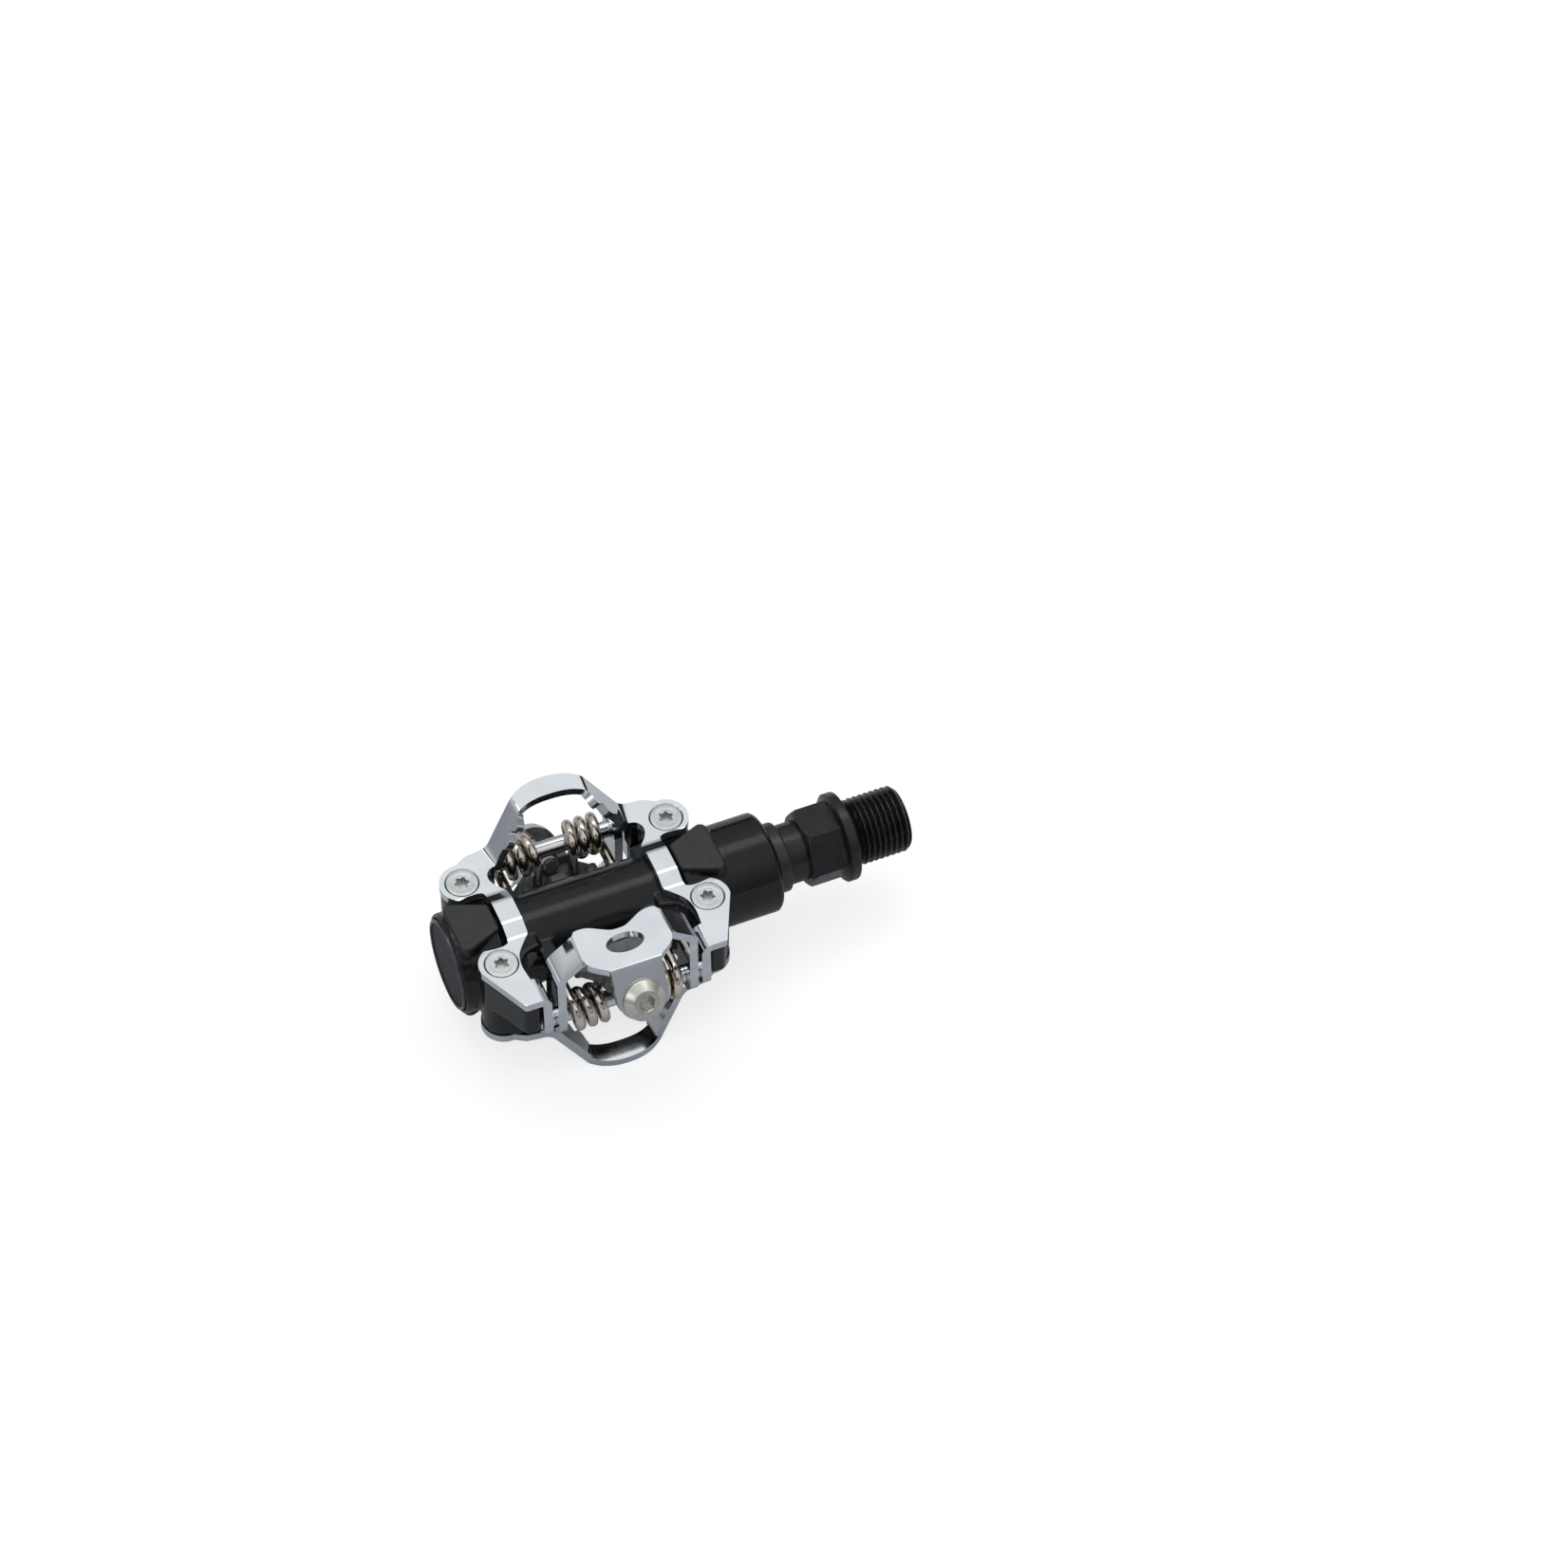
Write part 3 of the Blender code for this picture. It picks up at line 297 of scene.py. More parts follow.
def arc(centre, radius, start, end, steps):
    """Points on an arc, angles in degrees."""
    points = []
    for k in range(steps + 1):
        turn = math.radians(start + (end - start) * k / steps)
        points.append((centre[0] + radius * math.cos(turn), centre[1] + radius * math.sin(turn)))
    return points


def regular(centre, radius, sides, first=0.0):
    """Corners of a regular polygon; first is its first corner's angle in degrees."""
    return arc(centre, radius, first, first + 360 - 360 / sides, sides - 1)


def rounded(corners, steps=6):
    """A closed outline of (x, y, radius) corners, each turned into an arc of that radius."""
    outline = []
    for k, (x, y, radius) in enumerate(corners):
        here = Vector((x, y))
        if radius == 0:
            outline.append((x, y))
            continue
        back = (Vector(corners[k - 1][:2]) - here).normalized()
        ahead = (Vector(corners[(k + 1) % len(corners)][:2]) - here).normalized()
        half = back.angle(ahead) / 2
        centre = here + (back + ahead).normalized() * (radius / math.sin(half))
        first = here + back * (radius / math.tan(half)) - centre
        last = here + ahead * (radius / math.tan(half)) - centre
        sweep = first.angle_signed(last)
        for step in range(steps + 1):
            spot = centre + first @ Matrix.Rotation(sweep * step / steps, 2)
            outline.append((spot.x, spot.y))
    return outline


def curve(points, steps=5):
    """A smooth line through the points, with steps between each two of them."""
    spots = [Vector(p) for p in points]
    spots = [2 * spots[0] - spots[1]] + spots + [2 * spots[-1] - spots[-2]]
    line = []
    for k in range(1, len(spots) - 2):
        a, b, c, d = spots[k - 1 : k + 3]
        for step in range(steps):
            t = step / steps
            bend = (2 * a - 5 * b + 4 * c - d) * t * t + (3 * b - a - 3 * c + d) * t**3
            line.append(tuple(b + ((c - a) * t + bend) / 2))
    return line + [tuple(points[-1])]


def both_halves(half):
    """An outline from its half on the +X side, listed from the middle line round to the middle line."""
    return half + [(-x, y) for x, y in reversed(half)]


def on_platform(outline):
    return [(PLATFORM_X + x, y) for x, y in outline]


def at_height(outline, z):
    return [(x, y, z) for x, y in outline]


def upright(u, v, height):
    return (u, v, height)


def along_x(u, v, height):
    return (height, u, v)


def about_pin(u, v, height):
    return (height, PIVOT_Y + u, v)


def across_lip(u, v, depth):
    return (PLATFORM_X + u, depth, v)


def prism(name, outline, low, high, place=upright):
    """The outline pushed from low to high; place turns (u, v, height) into x, y, z."""
    count = len(outline)
    points = [place(u, v, low) for u, v in outline] + [place(u, v, high) for u, v in outline]
    faces = [tuple(range(count))[::-1], tuple(range(count, 2 * count))]
    for k in range(count):
        after = (k + 1) % count
        faces.append((k, after, count + after, count + k))
    return mesh_object(name, points, faces)


def turned(name, profile, segments=96, place=along_x, radius_at=None):
    """The (height, radius) profile turned about an axis and closed at both ends.

    place turns (u, v, height) into x, y, z, and radius_at changes the radius round the turn.
    """
    points = []
    for height, radius in profile:
        for k in range(segments):
            turn = 2 * math.pi * k / segments
            here = radius_at(height, radius, turn) if radius_at else radius
            points.append(place(here * math.cos(turn), here * math.sin(turn), height))
    faces = [tuple(range(segments))[::-1]]
    for ring in range(len(profile) - 1):
        low = ring * segments
        for k in range(segments):
            after = (k + 1) % segments
            faces.append((low + k, low + after, low + segments + after, low + segments + k))
    last = (len(profile) - 1) * segments
    faces.append(tuple(range(last, last + segments)))
    return mesh_object(name, points, faces)


def lathe(name, profile, segments=96):
    """A closed (x, radius) loop turned about the spindle axis, such as a ring."""
    points = []
    for x, radius in profile:
        for k in range(segments):
            turn = 2 * math.pi * k / segments
            points.append((x, radius * math.cos(turn), radius * math.sin(turn)))
    faces = []
    for ring in range(len(profile)):
        low = ring * segments
        high = (ring + 1) % len(profile) * segments
        for k in range(segments):
            after = (k + 1) % segments
            faces.append((low + k, low + after, high + after, high + k))
    return mesh_object(name, points, faces)


def flipped(item, name):
    """A copy for the other face, turned half way round the spindle axis."""
    copy = bpy.data.objects.new(name, item.data.copy())
    bpy.context.scene.collection.objects.link(copy)
    copy.data.transform(Matrix.Rotation(math.pi, 4, "X"))
    return copy


def mirrored(item, name):
    """A copy on the other side of the platform's centre."""
    copy = bpy.data.objects.new(name, item.data.copy())
    bpy.context.scene.collection.objects.link(copy)
    about = Matrix.Translation((2 * PLATFORM_X * MM, 0, 0)) @ Matrix.Scale(-1, 4, (1, 0, 0))
    copy.data.transform(about)
    copy.data.flip_normals()
    return copy


def folded_sheet(name, facets, thickness, materials):
    """A bent sheet from the facets of one half's outer side: mirrored, its folds rounded, and thickened.

    The second material is for the cut edges.
    """
    work = bmesh.new()
    for side in (1, -1):
        for facet in facets:
            work.faces.new([work.verts.new(Vector((PLATFORM_X + side * x, y, z)) * MM) for x, y, z in facet])
    bmesh.ops.remove_doubles(work, verts=work.verts, dist=1e-6)
    bmesh.ops.recalc_face_normals(work, faces=work.faces)
    work.normal_update()
    highest = max(work.faces, key=lambda face: face.calc_center_median().z)
    if highest.normal.z < 0:
        bmesh.ops.reverse_faces(work, faces=work.faces)
    inner = [edge for edge in work.edges if len(edge.link_faces) == 2]
    seam = [edge for edge in inner if edge.calc_face_angle() < math.radians(1)]
    bmesh.ops.dissolve_edges(work, edges=seam, use_verts=True)
    folds = [edge for edge in work.edges if len(edge.link_faces) == 2]
    for fold in [edge for edge in folds if edge.calc_face_angle() > math.radians(20)]:
        offset = FOLD_R * math.tan(fold.calc_face_angle() / 2) * MM
        bmesh.ops.bevel(work, geom=[fold], offset=offset, segments=6, profile=0.5, affect="EDGES")
    mesh = bpy.data.meshes.new(name)
    work.to_mesh(mesh)
    work.free()
    item = bpy.data.objects.new(name, mesh)
    bpy.context.scene.collection.objects.link(item)
    give(item, *materials)
    thicken = item.modifiers.new("sheet", "SOLIDIFY")
    thicken.thickness = thickness * MM
    thicken.offset = -1
    thicken.use_even_offset = True
    thicken.use_quality_normals = True
    thicken.material_offset_rim = 1
    split = item.modifiers.new("split", "TRIANGULATE")
    split.min_vertices = 5
    settle(item)
    return item


# ---------------------------------------------------------------- materials


def new_material(name):
    made = bpy.data.materials.new(name)
    made.use_nodes = True
    tree = made.node_tree
    return made, tree, tree.nodes["Principled BSDF"]


def texture(tree, kind, scale, stretch=(1, 1, 1), **settings):
    """A noise or cell texture laid out in the object's own space; scale is in cells per millimetre."""
    place = tree.nodes.new("ShaderNodeTexCoord")
    move = tree.nodes.new("ShaderNodeMapping")
    move.inputs["Scale"].default_value = stretch
    node = tree.nodes.new(kind)
    node.inputs["Scale"].default_value = scale / MM
    for socket, value in settings.items():
        node.inputs[socket].default_value = value
    tree.links.new(place.outputs["Object"], move.inputs["Vector"])
    tree.links.new(move.outputs["Vector"], node.inputs["Vector"])
    return node.outputs[0]


def noise(tree, scale, detail=3.0, stretch=(1, 1, 1)):
    return texture(tree, "ShaderNodeTexNoise", scale, stretch, Detail=detail)


def colour_between(tree, shader, source, low, high, start=0.35, end=0.65):
    """Base colour that goes from low to high as the texture does."""
    ramp = tree.nodes.new("ShaderNodeValToRGB")
    ramp.color_ramp.elements[0].position = start
    ramp.color_ramp.elements[1].position = end
    ramp.color_ramp.elements[0].color = (*low, 1)
    ramp.color_ramp.elements[1].color = (*high, 1)
    tree.links.new(source, ramp.inputs[0])
    tree.links.new(ramp.outputs[0], shader.inputs["Base Color"])


def roughness_between(tree, shader, source, low, high):
    spread = tree.nodes.new("ShaderNodeMapRange")
    spread.inputs["From Min"].default_value = 0.35
    spread.inputs["From Max"].default_value = 0.65
    spread.inputs["To Min"].default_value = low
    spread.inputs["To Max"].default_value = high
    tree.links.new(source, spread.inputs["Value"])
    tree.links.new(spread.outputs["Result"], shader.inputs["Roughness"])


def bumps(tree, shader, layers):
    """Bump layers of (texture, depth in millimetres), one over the other."""
    below = None
    for source, depth in layers:
        node = tree.nodes.new("ShaderNodeBump")
        node.inputs["Strength"].default_value = 1.0
        node.inputs["Distance"].default_value = depth * MM
        tree.links.new(source, node.inputs["Height"])
        if below:
            tree.links.new(below, node.inputs["Normal"])
        below = node.outputs["Normal"]
    tree.links.new(below, shader.inputs["Normal"])


def surface(name, low, high, metallic, roughness, patch, layers, stretch=(1, 1, 1), specular=0.5):
    """A mottled surface: colour from low to high and roughness over its range in patches, with bump layers.

    patch is in cells per millimetre, and layers are (cells per millimetre, detail, depth in millimetres).
    """
    made, tree, shader = new_material(name)
    shader.inputs["Metallic"].default_value = metallic
    shader.inputs["Specular IOR Level"].default_value = specular
    patches = noise(tree, patch, 4.0, stretch)
    colour_between(tree, shader, patches, low, high)
    fine = noise(tree, patch * 3.7, 5.0, stretch)
    roughness_between(tree, shader, fine, *roughness)
    bumps(tree, shader, [(noise(tree, scale, detail, stretch), depth) for scale, detail, depth in layers])
    return made


def make_materials():
    """Every material of the pedal, by name."""
    made = {}
    made["chrome"] = surface(
        "chrome", (0.72, 0.745, 0.77), (0.79, 0.81, 0.83), 1.0, (0.05, 0.10), 0.12,
        [(0.12, 1, 0.010), (6, 3, 0.0003)],
    )
    made["cut_edge"] = surface(
        "cut_edge", (0.58, 0.60, 0.63), (0.66, 0.68, 0.71), 1.0, (0.14, 0.24), 0.3,
        [(0.4, 1, 0.010), (4, 3, 0.0015)],
    )
    made["zinc"] = surface(
        "zinc", (0.50, 0.52, 0.51), (0.57, 0.59, 0.58), 1.0, (0.24, 0.34), 0.4,
        [(5, 3, 0.0015), (14, 3, 0.0008)],
    )
    made["warm_zinc"] = surface(
        "warm_zinc", (0.50, 0.495, 0.45), (0.60, 0.585, 0.53), 1.0, (0.22, 0.32), 0.4,
        [(5, 3, 0.0015), (14, 3, 0.0008)],
    )
    made["nickel"] = surface(
        "nickel", (0.54, 0.475, 0.41), (0.71, 0.655, 0.585), 1.0, (0.07, 0.18), 0.35, [(2.5, 3, 0.002)]
    )
    made["polished_pin"] = surface(
        "polished_pin", (0.62, 0.62, 0.63), (0.74, 0.73, 0.73), 1.0, (0.10, 0.22), 0.4,
        [(3, 3, 0.002)], (0.2, 1, 1),
    )
    made["cast_steel"] = surface(
        "cast_steel", (0.085, 0.098, 0.094), (0.135, 0.15, 0.145), 0.55, (0.42, 0.6), 0.5,
        [(1.4, 4, 0.03), (6, 4, 0.01)],
    )
    made["gloss_black"] = surface(
        "gloss_black", (0.0030, 0.0035, 0.0042), (0.0065, 0.0065, 0.0075), 0.0, (0.13, 0.21), 0.15,
        [(5, 3, 0.0004)],
        specular=0.3,
    )
    made["pad_black"] = surface(
        "pad_black", (0.0085, 0.008, 0.008), (0.014, 0.0132, 0.0132), 0.0, (0.42, 0.54), 0.4,
        [(3, 4, 0.008), (12, 3, 0.004)],
    )
    made["black_oxide"] = surface(
        "black_oxide", (0.0062, 0.0066, 0.0078), (0.0125, 0.0130, 0.0150), 0.30, (0.22, 0.33), 0.3,
        [(1.5, 3, 0.004), (9, 3, 0.0015)],
    )
    made["grey_cap"] = surface(
        "grey_cap", (0.012, 0.0125, 0.0145), (0.017, 0.0175, 0.020), 0.0, (0.46, 0.56), 0.3, [(5, 3, 0.0008)],
        specular=0.12,
    )
    # painted highlight: the end cap's rim is coloured lighter than the gloss black it stands for, to draw its
    # thin light line; its ridge and metal add real reflections
    made["rim_painted_highlight"] = surface(
        "rim_painted_highlight", (0.05, 0.05, 0.055), (0.08, 0.08, 0.085), 0.6, (0.20, 0.30), 0.5, [(5, 3, 0.001)]
    )
    made["polymer"] = surface(
        "polymer", (0.0060, 0.0062, 0.0070), (0.0105, 0.0105, 0.0115), 0.0, (0.26, 0.38), 0.5, [(4, 4, 0.004)]
    )
    made["rubber"] = surface(
        "rubber", (0.016, 0.016, 0.016), (0.026, 0.026, 0.026), 0.0, (0.6, 0.75), 0.8, [(5, 4, 0.008)]
    )
    made["ground_steel"] = surface(
        "ground_steel", (0.50, 0.51, 0.52), (0.62, 0.63, 0.64), 1.0, (0.14, 0.26), 0.5,
        [(8, 3, 0.001)], (0.1, 1, 1),
    )
    made["bronze"] = surface(
        "bronze", (0.40, 0.26, 0.12), (0.52, 0.35, 0.17), 1.0, (0.28, 0.42), 0.5, [(5, 4, 0.003)]
    )
    return made


# ---------------------------------------------------------------- placing


def give(item, *materials):
    """The object's material slots are these, in order."""
    item.data.materials.clear()
    for made in materials:
        item.data.materials.append(made)
    return item


def place_piece(item, body, slot, *nodes):
    """The piece moves with the body and stands for the CAD nodes; the slot is not used."""
    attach(item, body)
    if nodes:
        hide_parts(*nodes)
    return item


def place_both(item, stem, body, slot):
    """The piece on the top face, and its copy on the bottom face."""
    other = flipped(item, "bottom_" + stem + "_shown")
    place_piece(item, body.replace("*", "top"), slot, "top_" + stem)
    place_piece(other, body.replace("*", "bottom"), slot, "bottom_" + stem)


# ---------------------------------------------------------------- plates


def front_arm():
    """Outline of the plate's arm beside the claw."""
    bend = [(EAR_BEND_X, EAR_BACK_Y), (18.95, -13.6), (18.5, -10.8), (17.2, -8.7), (STRAP_IN, -STRAP_FOOT_Y)]
    inner = curve(bend)
    corner = arc((21.3, -22.2), 0.9, -12, -90, 4)
    return (
        [(STRAP_IN, -STRAP_FOOT_Y), (STRAP_OUT, -STRAP_FOOT_Y)]
        + curve([(19.5, -6.9), (20.6, -7.3), (22.6, -7.3)], 3)
        + arc((SCREW_X, -SCREW_Y), BULGE_R, 62, -12, 14)
        + corner
        + [(EAR_BEND_X, EAR_FRONT_Y)]
        + inner[:-1]
    )


def back_arm():
    """Outline of the plate's arm beside the hoop."""
    inner = curve([(STRAP_IN, STRAP_FOOT_Y), (16.6, 8.2), (17.2, 10.4), (16.3, 12.1), (14.5, 12.7)])
    return (
        [(STRAP_OUT, STRAP_FOOT_Y)]
        + inner
        + [(14.8, 17.8)]
        + curve([(17.6, 17.5), (19.8, 17.2)], 3)
        + arc((SCREW_X, SCREW_Y), BULGE_R, 95, -62, 22)
        + curve([(22.6, 7.3), (20.6, 7.3), (19.5, 6.9)], 3)
    )


def strap():
    """The plate's bridge over the barrel: up, across and down."""
    steps = [
        (-STRAP_FOOT_Y, PLATE_TOP),
        (-STRAP_FLAT_Y, STRAP_TOP),
        (STRAP_FLAT_Y, STRAP_TOP),
        (STRAP_FOOT_Y, PLATE_TOP),
    ]
    facets = []
    for (y0, z0), (y1, z1) in zip(steps, steps[1:]):
        facets.append([(STRAP_IN, y0, z0), (STRAP_OUT, y0, z0), (STRAP_OUT, y1, z1), (STRAP_IN, y1, z1)])
    return facets


def hoop():
    """Half of the hoop: a leg with its cleat lip, and half of the top band."""
    foot = Vector((14.5, 12.7, PLATE_TOP))
    corner = Vector((*HOOP_INNER, HOOP_TOP))
    along = corner - foot
    outward = Vector((0.3, 5.1, 0)).normalized()
    lip = []
    for share, reach in HOOP_TEETH:
        lip.append(tuple(foot + along * share - outward * reach))
    leg = [(14.8, 17.8, PLATE_TOP)] + lip + [tuple(corner)] + [(*HOOP_OUTER, HOOP_TOP)]
    outer = curve([HOOP_OUTER, (5.6, 22.75), (2.9, 23.7), (0, 24.0)], 5)
    inner = curve([(0, 19.25), (2.6, 19.1), (5.0, 18.55), HOOP_INNER], 5)
    return [leg, at_height(outer + inner, HOOP_TOP)]


def ear():
    """The arm's inner edge bent down into a wall that holds the pin."""
    bend = arc((EAR_BEND_X, PLATE_TOP - EAR_BEND_R), EAR_BEND_R, 90, 180, 8)
    facets = []
    for (x0, z0), (x1, z1) in zip(bend, bend[1:]):
        upper = [(x0, EAR_FRONT_Y, z0), (x0, EAR_BACK_Y, z0)]
        facets.append(upper + [(x1, EAR_BACK_Y, z1), (x1, EAR_FRONT_Y, z1)])
    wall_x, wall_top = bend[-1]
    lobe = arc((PIVOT_Y, 0), EAR_LOBE_R, 180, 360, 24)
    wall = [(EAR_FRONT_Y, wall_top)] + lobe + [(EAR_BACK_Y, wall_top)]
    facets.append([(wall_x, y, z) for y, z in wall])
    return facets


def countersink(x, y):
    """A cutter for a countersunk screw hole, its wide end above the plate."""
    wide = HEAD_R + GAP / 2
    narrow = SHANK_R + GAP
    slope = (wide - narrow) / HEAD_DEPTH
    under = PLATE_TOP - SHEET
    levels = [(under - 1, narrow), (under, narrow), (PLATE_TOP + 1, wide + slope)]
    return turned("hole", levels, 64, lambda u, v, height: (PLATFORM_X + x + u, y + v, height))


def pin_hole(near, far, radius):
    """A cutter about the pin's axis."""
    return turned("hole", [(near, radius), (far, radius)], 48, about_pin)


def make_plates(made):
    """Two chrome plates, each one bent sheet with its arms, straps, hoop and pin ears."""
    facets = [at_height(front_arm(), PLATE_TOP), at_height(back_arm(), PLATE_TOP)] + strap() + hoop() + ear()
    plate = folded_sheet("top_plate_shown", facets, SHEET, (made["chrome"], made["cut_edge"]))
    cutters = [countersink(x, y) for x in (-SCREW_X, SCREW_X) for y in (-SCREW_Y, SCREW_Y)]
    for side in (-1, 1):
        ends = sorted(PLATFORM_X + side * (EAR_BEND_X + reach) for reach in (-5, 2))
        cutters.append(pin_hole(*ends, PIN_R + GAP / 2))
    combine(plate, cutters, "DIFFERENCE")
    round_edges(plate, PLATE_EDGE, 4)
    even_shading(plate)
    place_both(plate, "plate", "pedal_body", "chrome_steel")


# ---------------------------------------------------------------- screws and pins


def six_lobes(radius, dip, points=72):
    """Outline of a six-lobed key recess."""
    outline = []
    for k in range(points):
        turn = 2 * math.pi * k / points
        here = radius - dip * (0.5 - 0.5 * math.cos(6 * turn)) ** 0.8
        outline.append((here * math.cos(turn), here * math.sin(turn)))
    return outline


def make_plate_screws(made):
    """Eight countersunk screws, four on each face, each turned to its own angle."""
    top = PLATE_TOP
    levels = [(top - SCREW_LENGTH, SHANK_R * 0.7), (top - SCREW_LENGTH + 0.6, SHANK_R)]
    head = HEAD_R - HEAD_GAP
    levels += [(top - HEAD_DEPTH + 0.1, SHANK_R), (top - 0.32, head - 0.02), (top - 0.16, head)]
    levels += [(top - 0.05, head - 0.06), (top, head - 0.22)]
    first = turned("screw", levels, 64, upright)
    dish = [(top - 0.06, 2.2), (top - 0.02, 2.35), (top + 1, 3.4)]
    key = prism("key", six_lobes(LOBES_R, LOBES_DIP), top - LOBES_DEPTH, top + 1)
    combine(first, [turned("dish", dish, 64, upright), key], "DIFFERENCE")
    round_edges(first, 0.06, 2)
    give(first, made["zinc"])
    even_shading(first)
    order = 0
    for face, half_turn in (("top", 0.0), ("bottom", math.pi)):
        for end, x in (("cap", -SCREW_X), ("crank", SCREW_X)):
            for side, y in (("claw", -SCREW_Y), ("hoop", SCREW_Y)):
                name = f"{face}_screw_{end}_{side}"
                screw = bpy.data.objects.new(name + "_shown", first.data.copy())
                bpy.context.scene.collection.objects.link(screw)
                spun = Matrix.Rotation(math.radians(19 + 37 * order), 4, "Z")
                moved = Matrix.Translation(Vector((PLATFORM_X + x, y, 0)) * MM)
                screw.data.transform(Matrix.Rotation(half_turn, 4, "X") @ moved @ spun)
                place_piece(screw, "pedal_body", "zinc_steel", name)
                order += 1
    bpy.data.objects.remove(first)


def make_pins(made):
    """The claws' two pivot pins, held by the plates' ears."""
    near = PLATFORM_X - PIN_HALF
    far = PLATFORM_X + PIN_HALF
    ends = [(near, PIN_R - 0.35), (near + 0.1, PIN_R - 0.15), (near + 0.35, PIN_R)]
    ends += [(2 * PLATFORM_X - x, radius) for x, radius in reversed(ends)]
    pin = turned("top_pivot_pin_shown", ends, 48, about_pin)
    give(pin, made["polished_pin"])
    even_shading(pin)
    place_both(pin, "pivot_pin", "pedal_body", "nickel_steel")


# ---------------------------------------------------------------- claws


def tab_point(across, down, outward=0.0):
    """A place on the claw's front tab: across it, down it from the fold, and out from its face."""
    y = TAB_FOLD_Y - down * math.sin(TAB_TILT) - outward * math.cos(TAB_TILT)
    z = CLAW_TOP - down * math.cos(TAB_TILT) + outward * math.sin(TAB_TILT)
    return (across, y, z)


def by_screw(u, v, outward):
    """A place by the tension screw: u across, v up the tab, outward from the tab's face."""
    return tab_point(PLATFORM_X + u, SCREW_ALONG_TAB - v, outward)


def claw_facets():
    """The outer side of half a claw: roof, shoulder, side wall and front tab."""
    back = [(0, -18.3), (1.6, -18.1), (3.4, -17.2), (5.4, -16.1), (7.0, -15.7), (8.6, -15.8), (9.3, -16.6)]
    front = [(9.5, -23.1), (9.3, -24.2), (8.6, -25.3), (7.4, -26.3), (6.2, -27.1), (TAB_HALF, TAB_FOLD_Y)]
    roof = curve(back) + curve(front) + [(0, TAB_FOLD_Y)]
    shoulder = [(9.3, -16.6, CLAW_TOP), (9.5, -23.1, CLAW_TOP)]
    shoulder += [(CLAW_WALL_X, -23.4, CLAW_WALL_TOP), (CLAW_WALL_X, -17.0, CLAW_WALL_TOP)]
    wall = [(-23.4, CLAW_WALL_TOP)] + arc((PIVOT_Y, 0), CLAW_LOBE_R, 180, 360, 28) + [(-17.0, CLAW_WALL_TOP)]
    straight = TAB_LENGTH - TAB_HALF
    tab = [(0, 0), (TAB_HALF, 0)] + [(x, straight - y) for x, y in arc((0, 0), TAB_HALF, 0, -90, 20)]
    return [
        at_height(roof, CLAW_TOP),
        shoulder,
        [(CLAW_WALL_X, y, z) for y, z in wall],
        [tab_point(across, down) for across, down in tab],
    ]


def make_claws(made):
    """Two chrome claws, each one bent sheet with a window, pin holes and a screw hole."""
    claw = folded_sheet("top_claw_shown", claw_facets(), CLAW_SHEET, (made["chrome"], made["cut_edge"]))
    oval = [(WINDOW_HALF[0] * x, WINDOW_Y + WINDOW_HALF[1] * y) for x, y in regular((0, 0), 1.0, 64)]
    cutters = [prism("window", on_platform(oval), CLAW_TOP - 4, CLAW_TOP + 1)]
    for side in (-1, 1):
        ends = sorted(PLATFORM_X + side * (CLAW_WALL_X + reach) for reach in (-4, 1))
        cutters.append(pin_hole(*ends, PIN_R + CLAW_PLAY))
    bore = ADJUSTER_R + CLAW_PLAY
    cutters.append(turned("hole", [(-4, bore), (1, bore)], 48, by_screw))
    combine(claw, cutters, "DIFFERENCE")
    round_edges(claw, CLAW_EDGE, 4)
    even_shading(claw)
    place_both(claw, "claw", "*_claw", "chrome_steel")


def make_adjusters(made):
    """Two tension screws with domed heads and hexagon sockets."""
    levels = [(-ADJUSTER_REACH, ADJUSTER_R * 0.7), (-ADJUSTER_REACH + 0.5, ADJUSTER_R), (0.12, ADJUSTER_R)]
    levels += [(0.13, ADJUSTER_HEAD_R - 0.15), (0.25, ADJUSTER_HEAD_R), (0.62, ADJUSTER_HEAD_R)]
    levels += [(0.8, ADJUSTER_HEAD_R - 0.15), (ADJUSTER_HEAD_H - 0.15, 2.85), (ADJUSTER_HEAD_H, 2.6)]
    screw = turned("top_adjuster_screw_shown", levels, 72, by_screw)
    key = regular((0, 0), ADJUSTER_KEY / math.sqrt(3), 6, 12)
    bottom = ADJUSTER_HEAD_H - ADJUSTER_KEY_DEPTH
    socket = prism("socket", key, bottom, ADJUSTER_HEAD_H + 1, by_screw)
    mouth = [(ADJUSTER_HEAD_H - 0.35, 1.4), (ADJUSTER_HEAD_H + 0.6, 2.35)]
    combine(screw, [turned("mouth", mouth, 48, by_screw), socket], "DIFFERENCE")
    round_edges(screw, 0.08, 2)
    give(screw, made["warm_zinc"])
    even_shading(screw)
    place_both(screw, "adjuster_screw", "*_adjuster", "zinc_steel")


# ---------------------------------------------------------------- tension plates and springs


def nut_block():
    """The tension plate's block round its screw, with a rounded lobe below the hole."""
    lobe = arc((0, 0), NUT_LOBE_R, 190, 350, 16)
    corners = [(NUT_LOBE_R + 0.1, -NUT_DOWN, 0), (NUT_HALF, -NUT_DOWN, 0.8), (NUT_HALF, NUT_UP, 0.8)]
    half = rounded(corners + [(0, NUT_UP, 0)])[:-1]
    return prism("nut", lobe + both_halves(half), -NUT_FAR, -NUT_NEAR, by_screw)


def bridge():
    """The tension plate's bridge over the coils."""
    corners = [(NUT_HALF - 0.5, BRIDGE_BACK_Y, 0), (BRIDGE_HALF, BRIDGE_BACK_Y + 4.0, 1.5)]
    half = rounded(corners + [(BRIDGE_HALF, LIP_FRONT_Y, 0.8), (0, LIP_FRONT_Y, 0)])[:-1]
    return prism("top_tension_plate_shown", on_platform(both_halves(half)), BRIDGE_UNDER, BRIDGE_TOP)


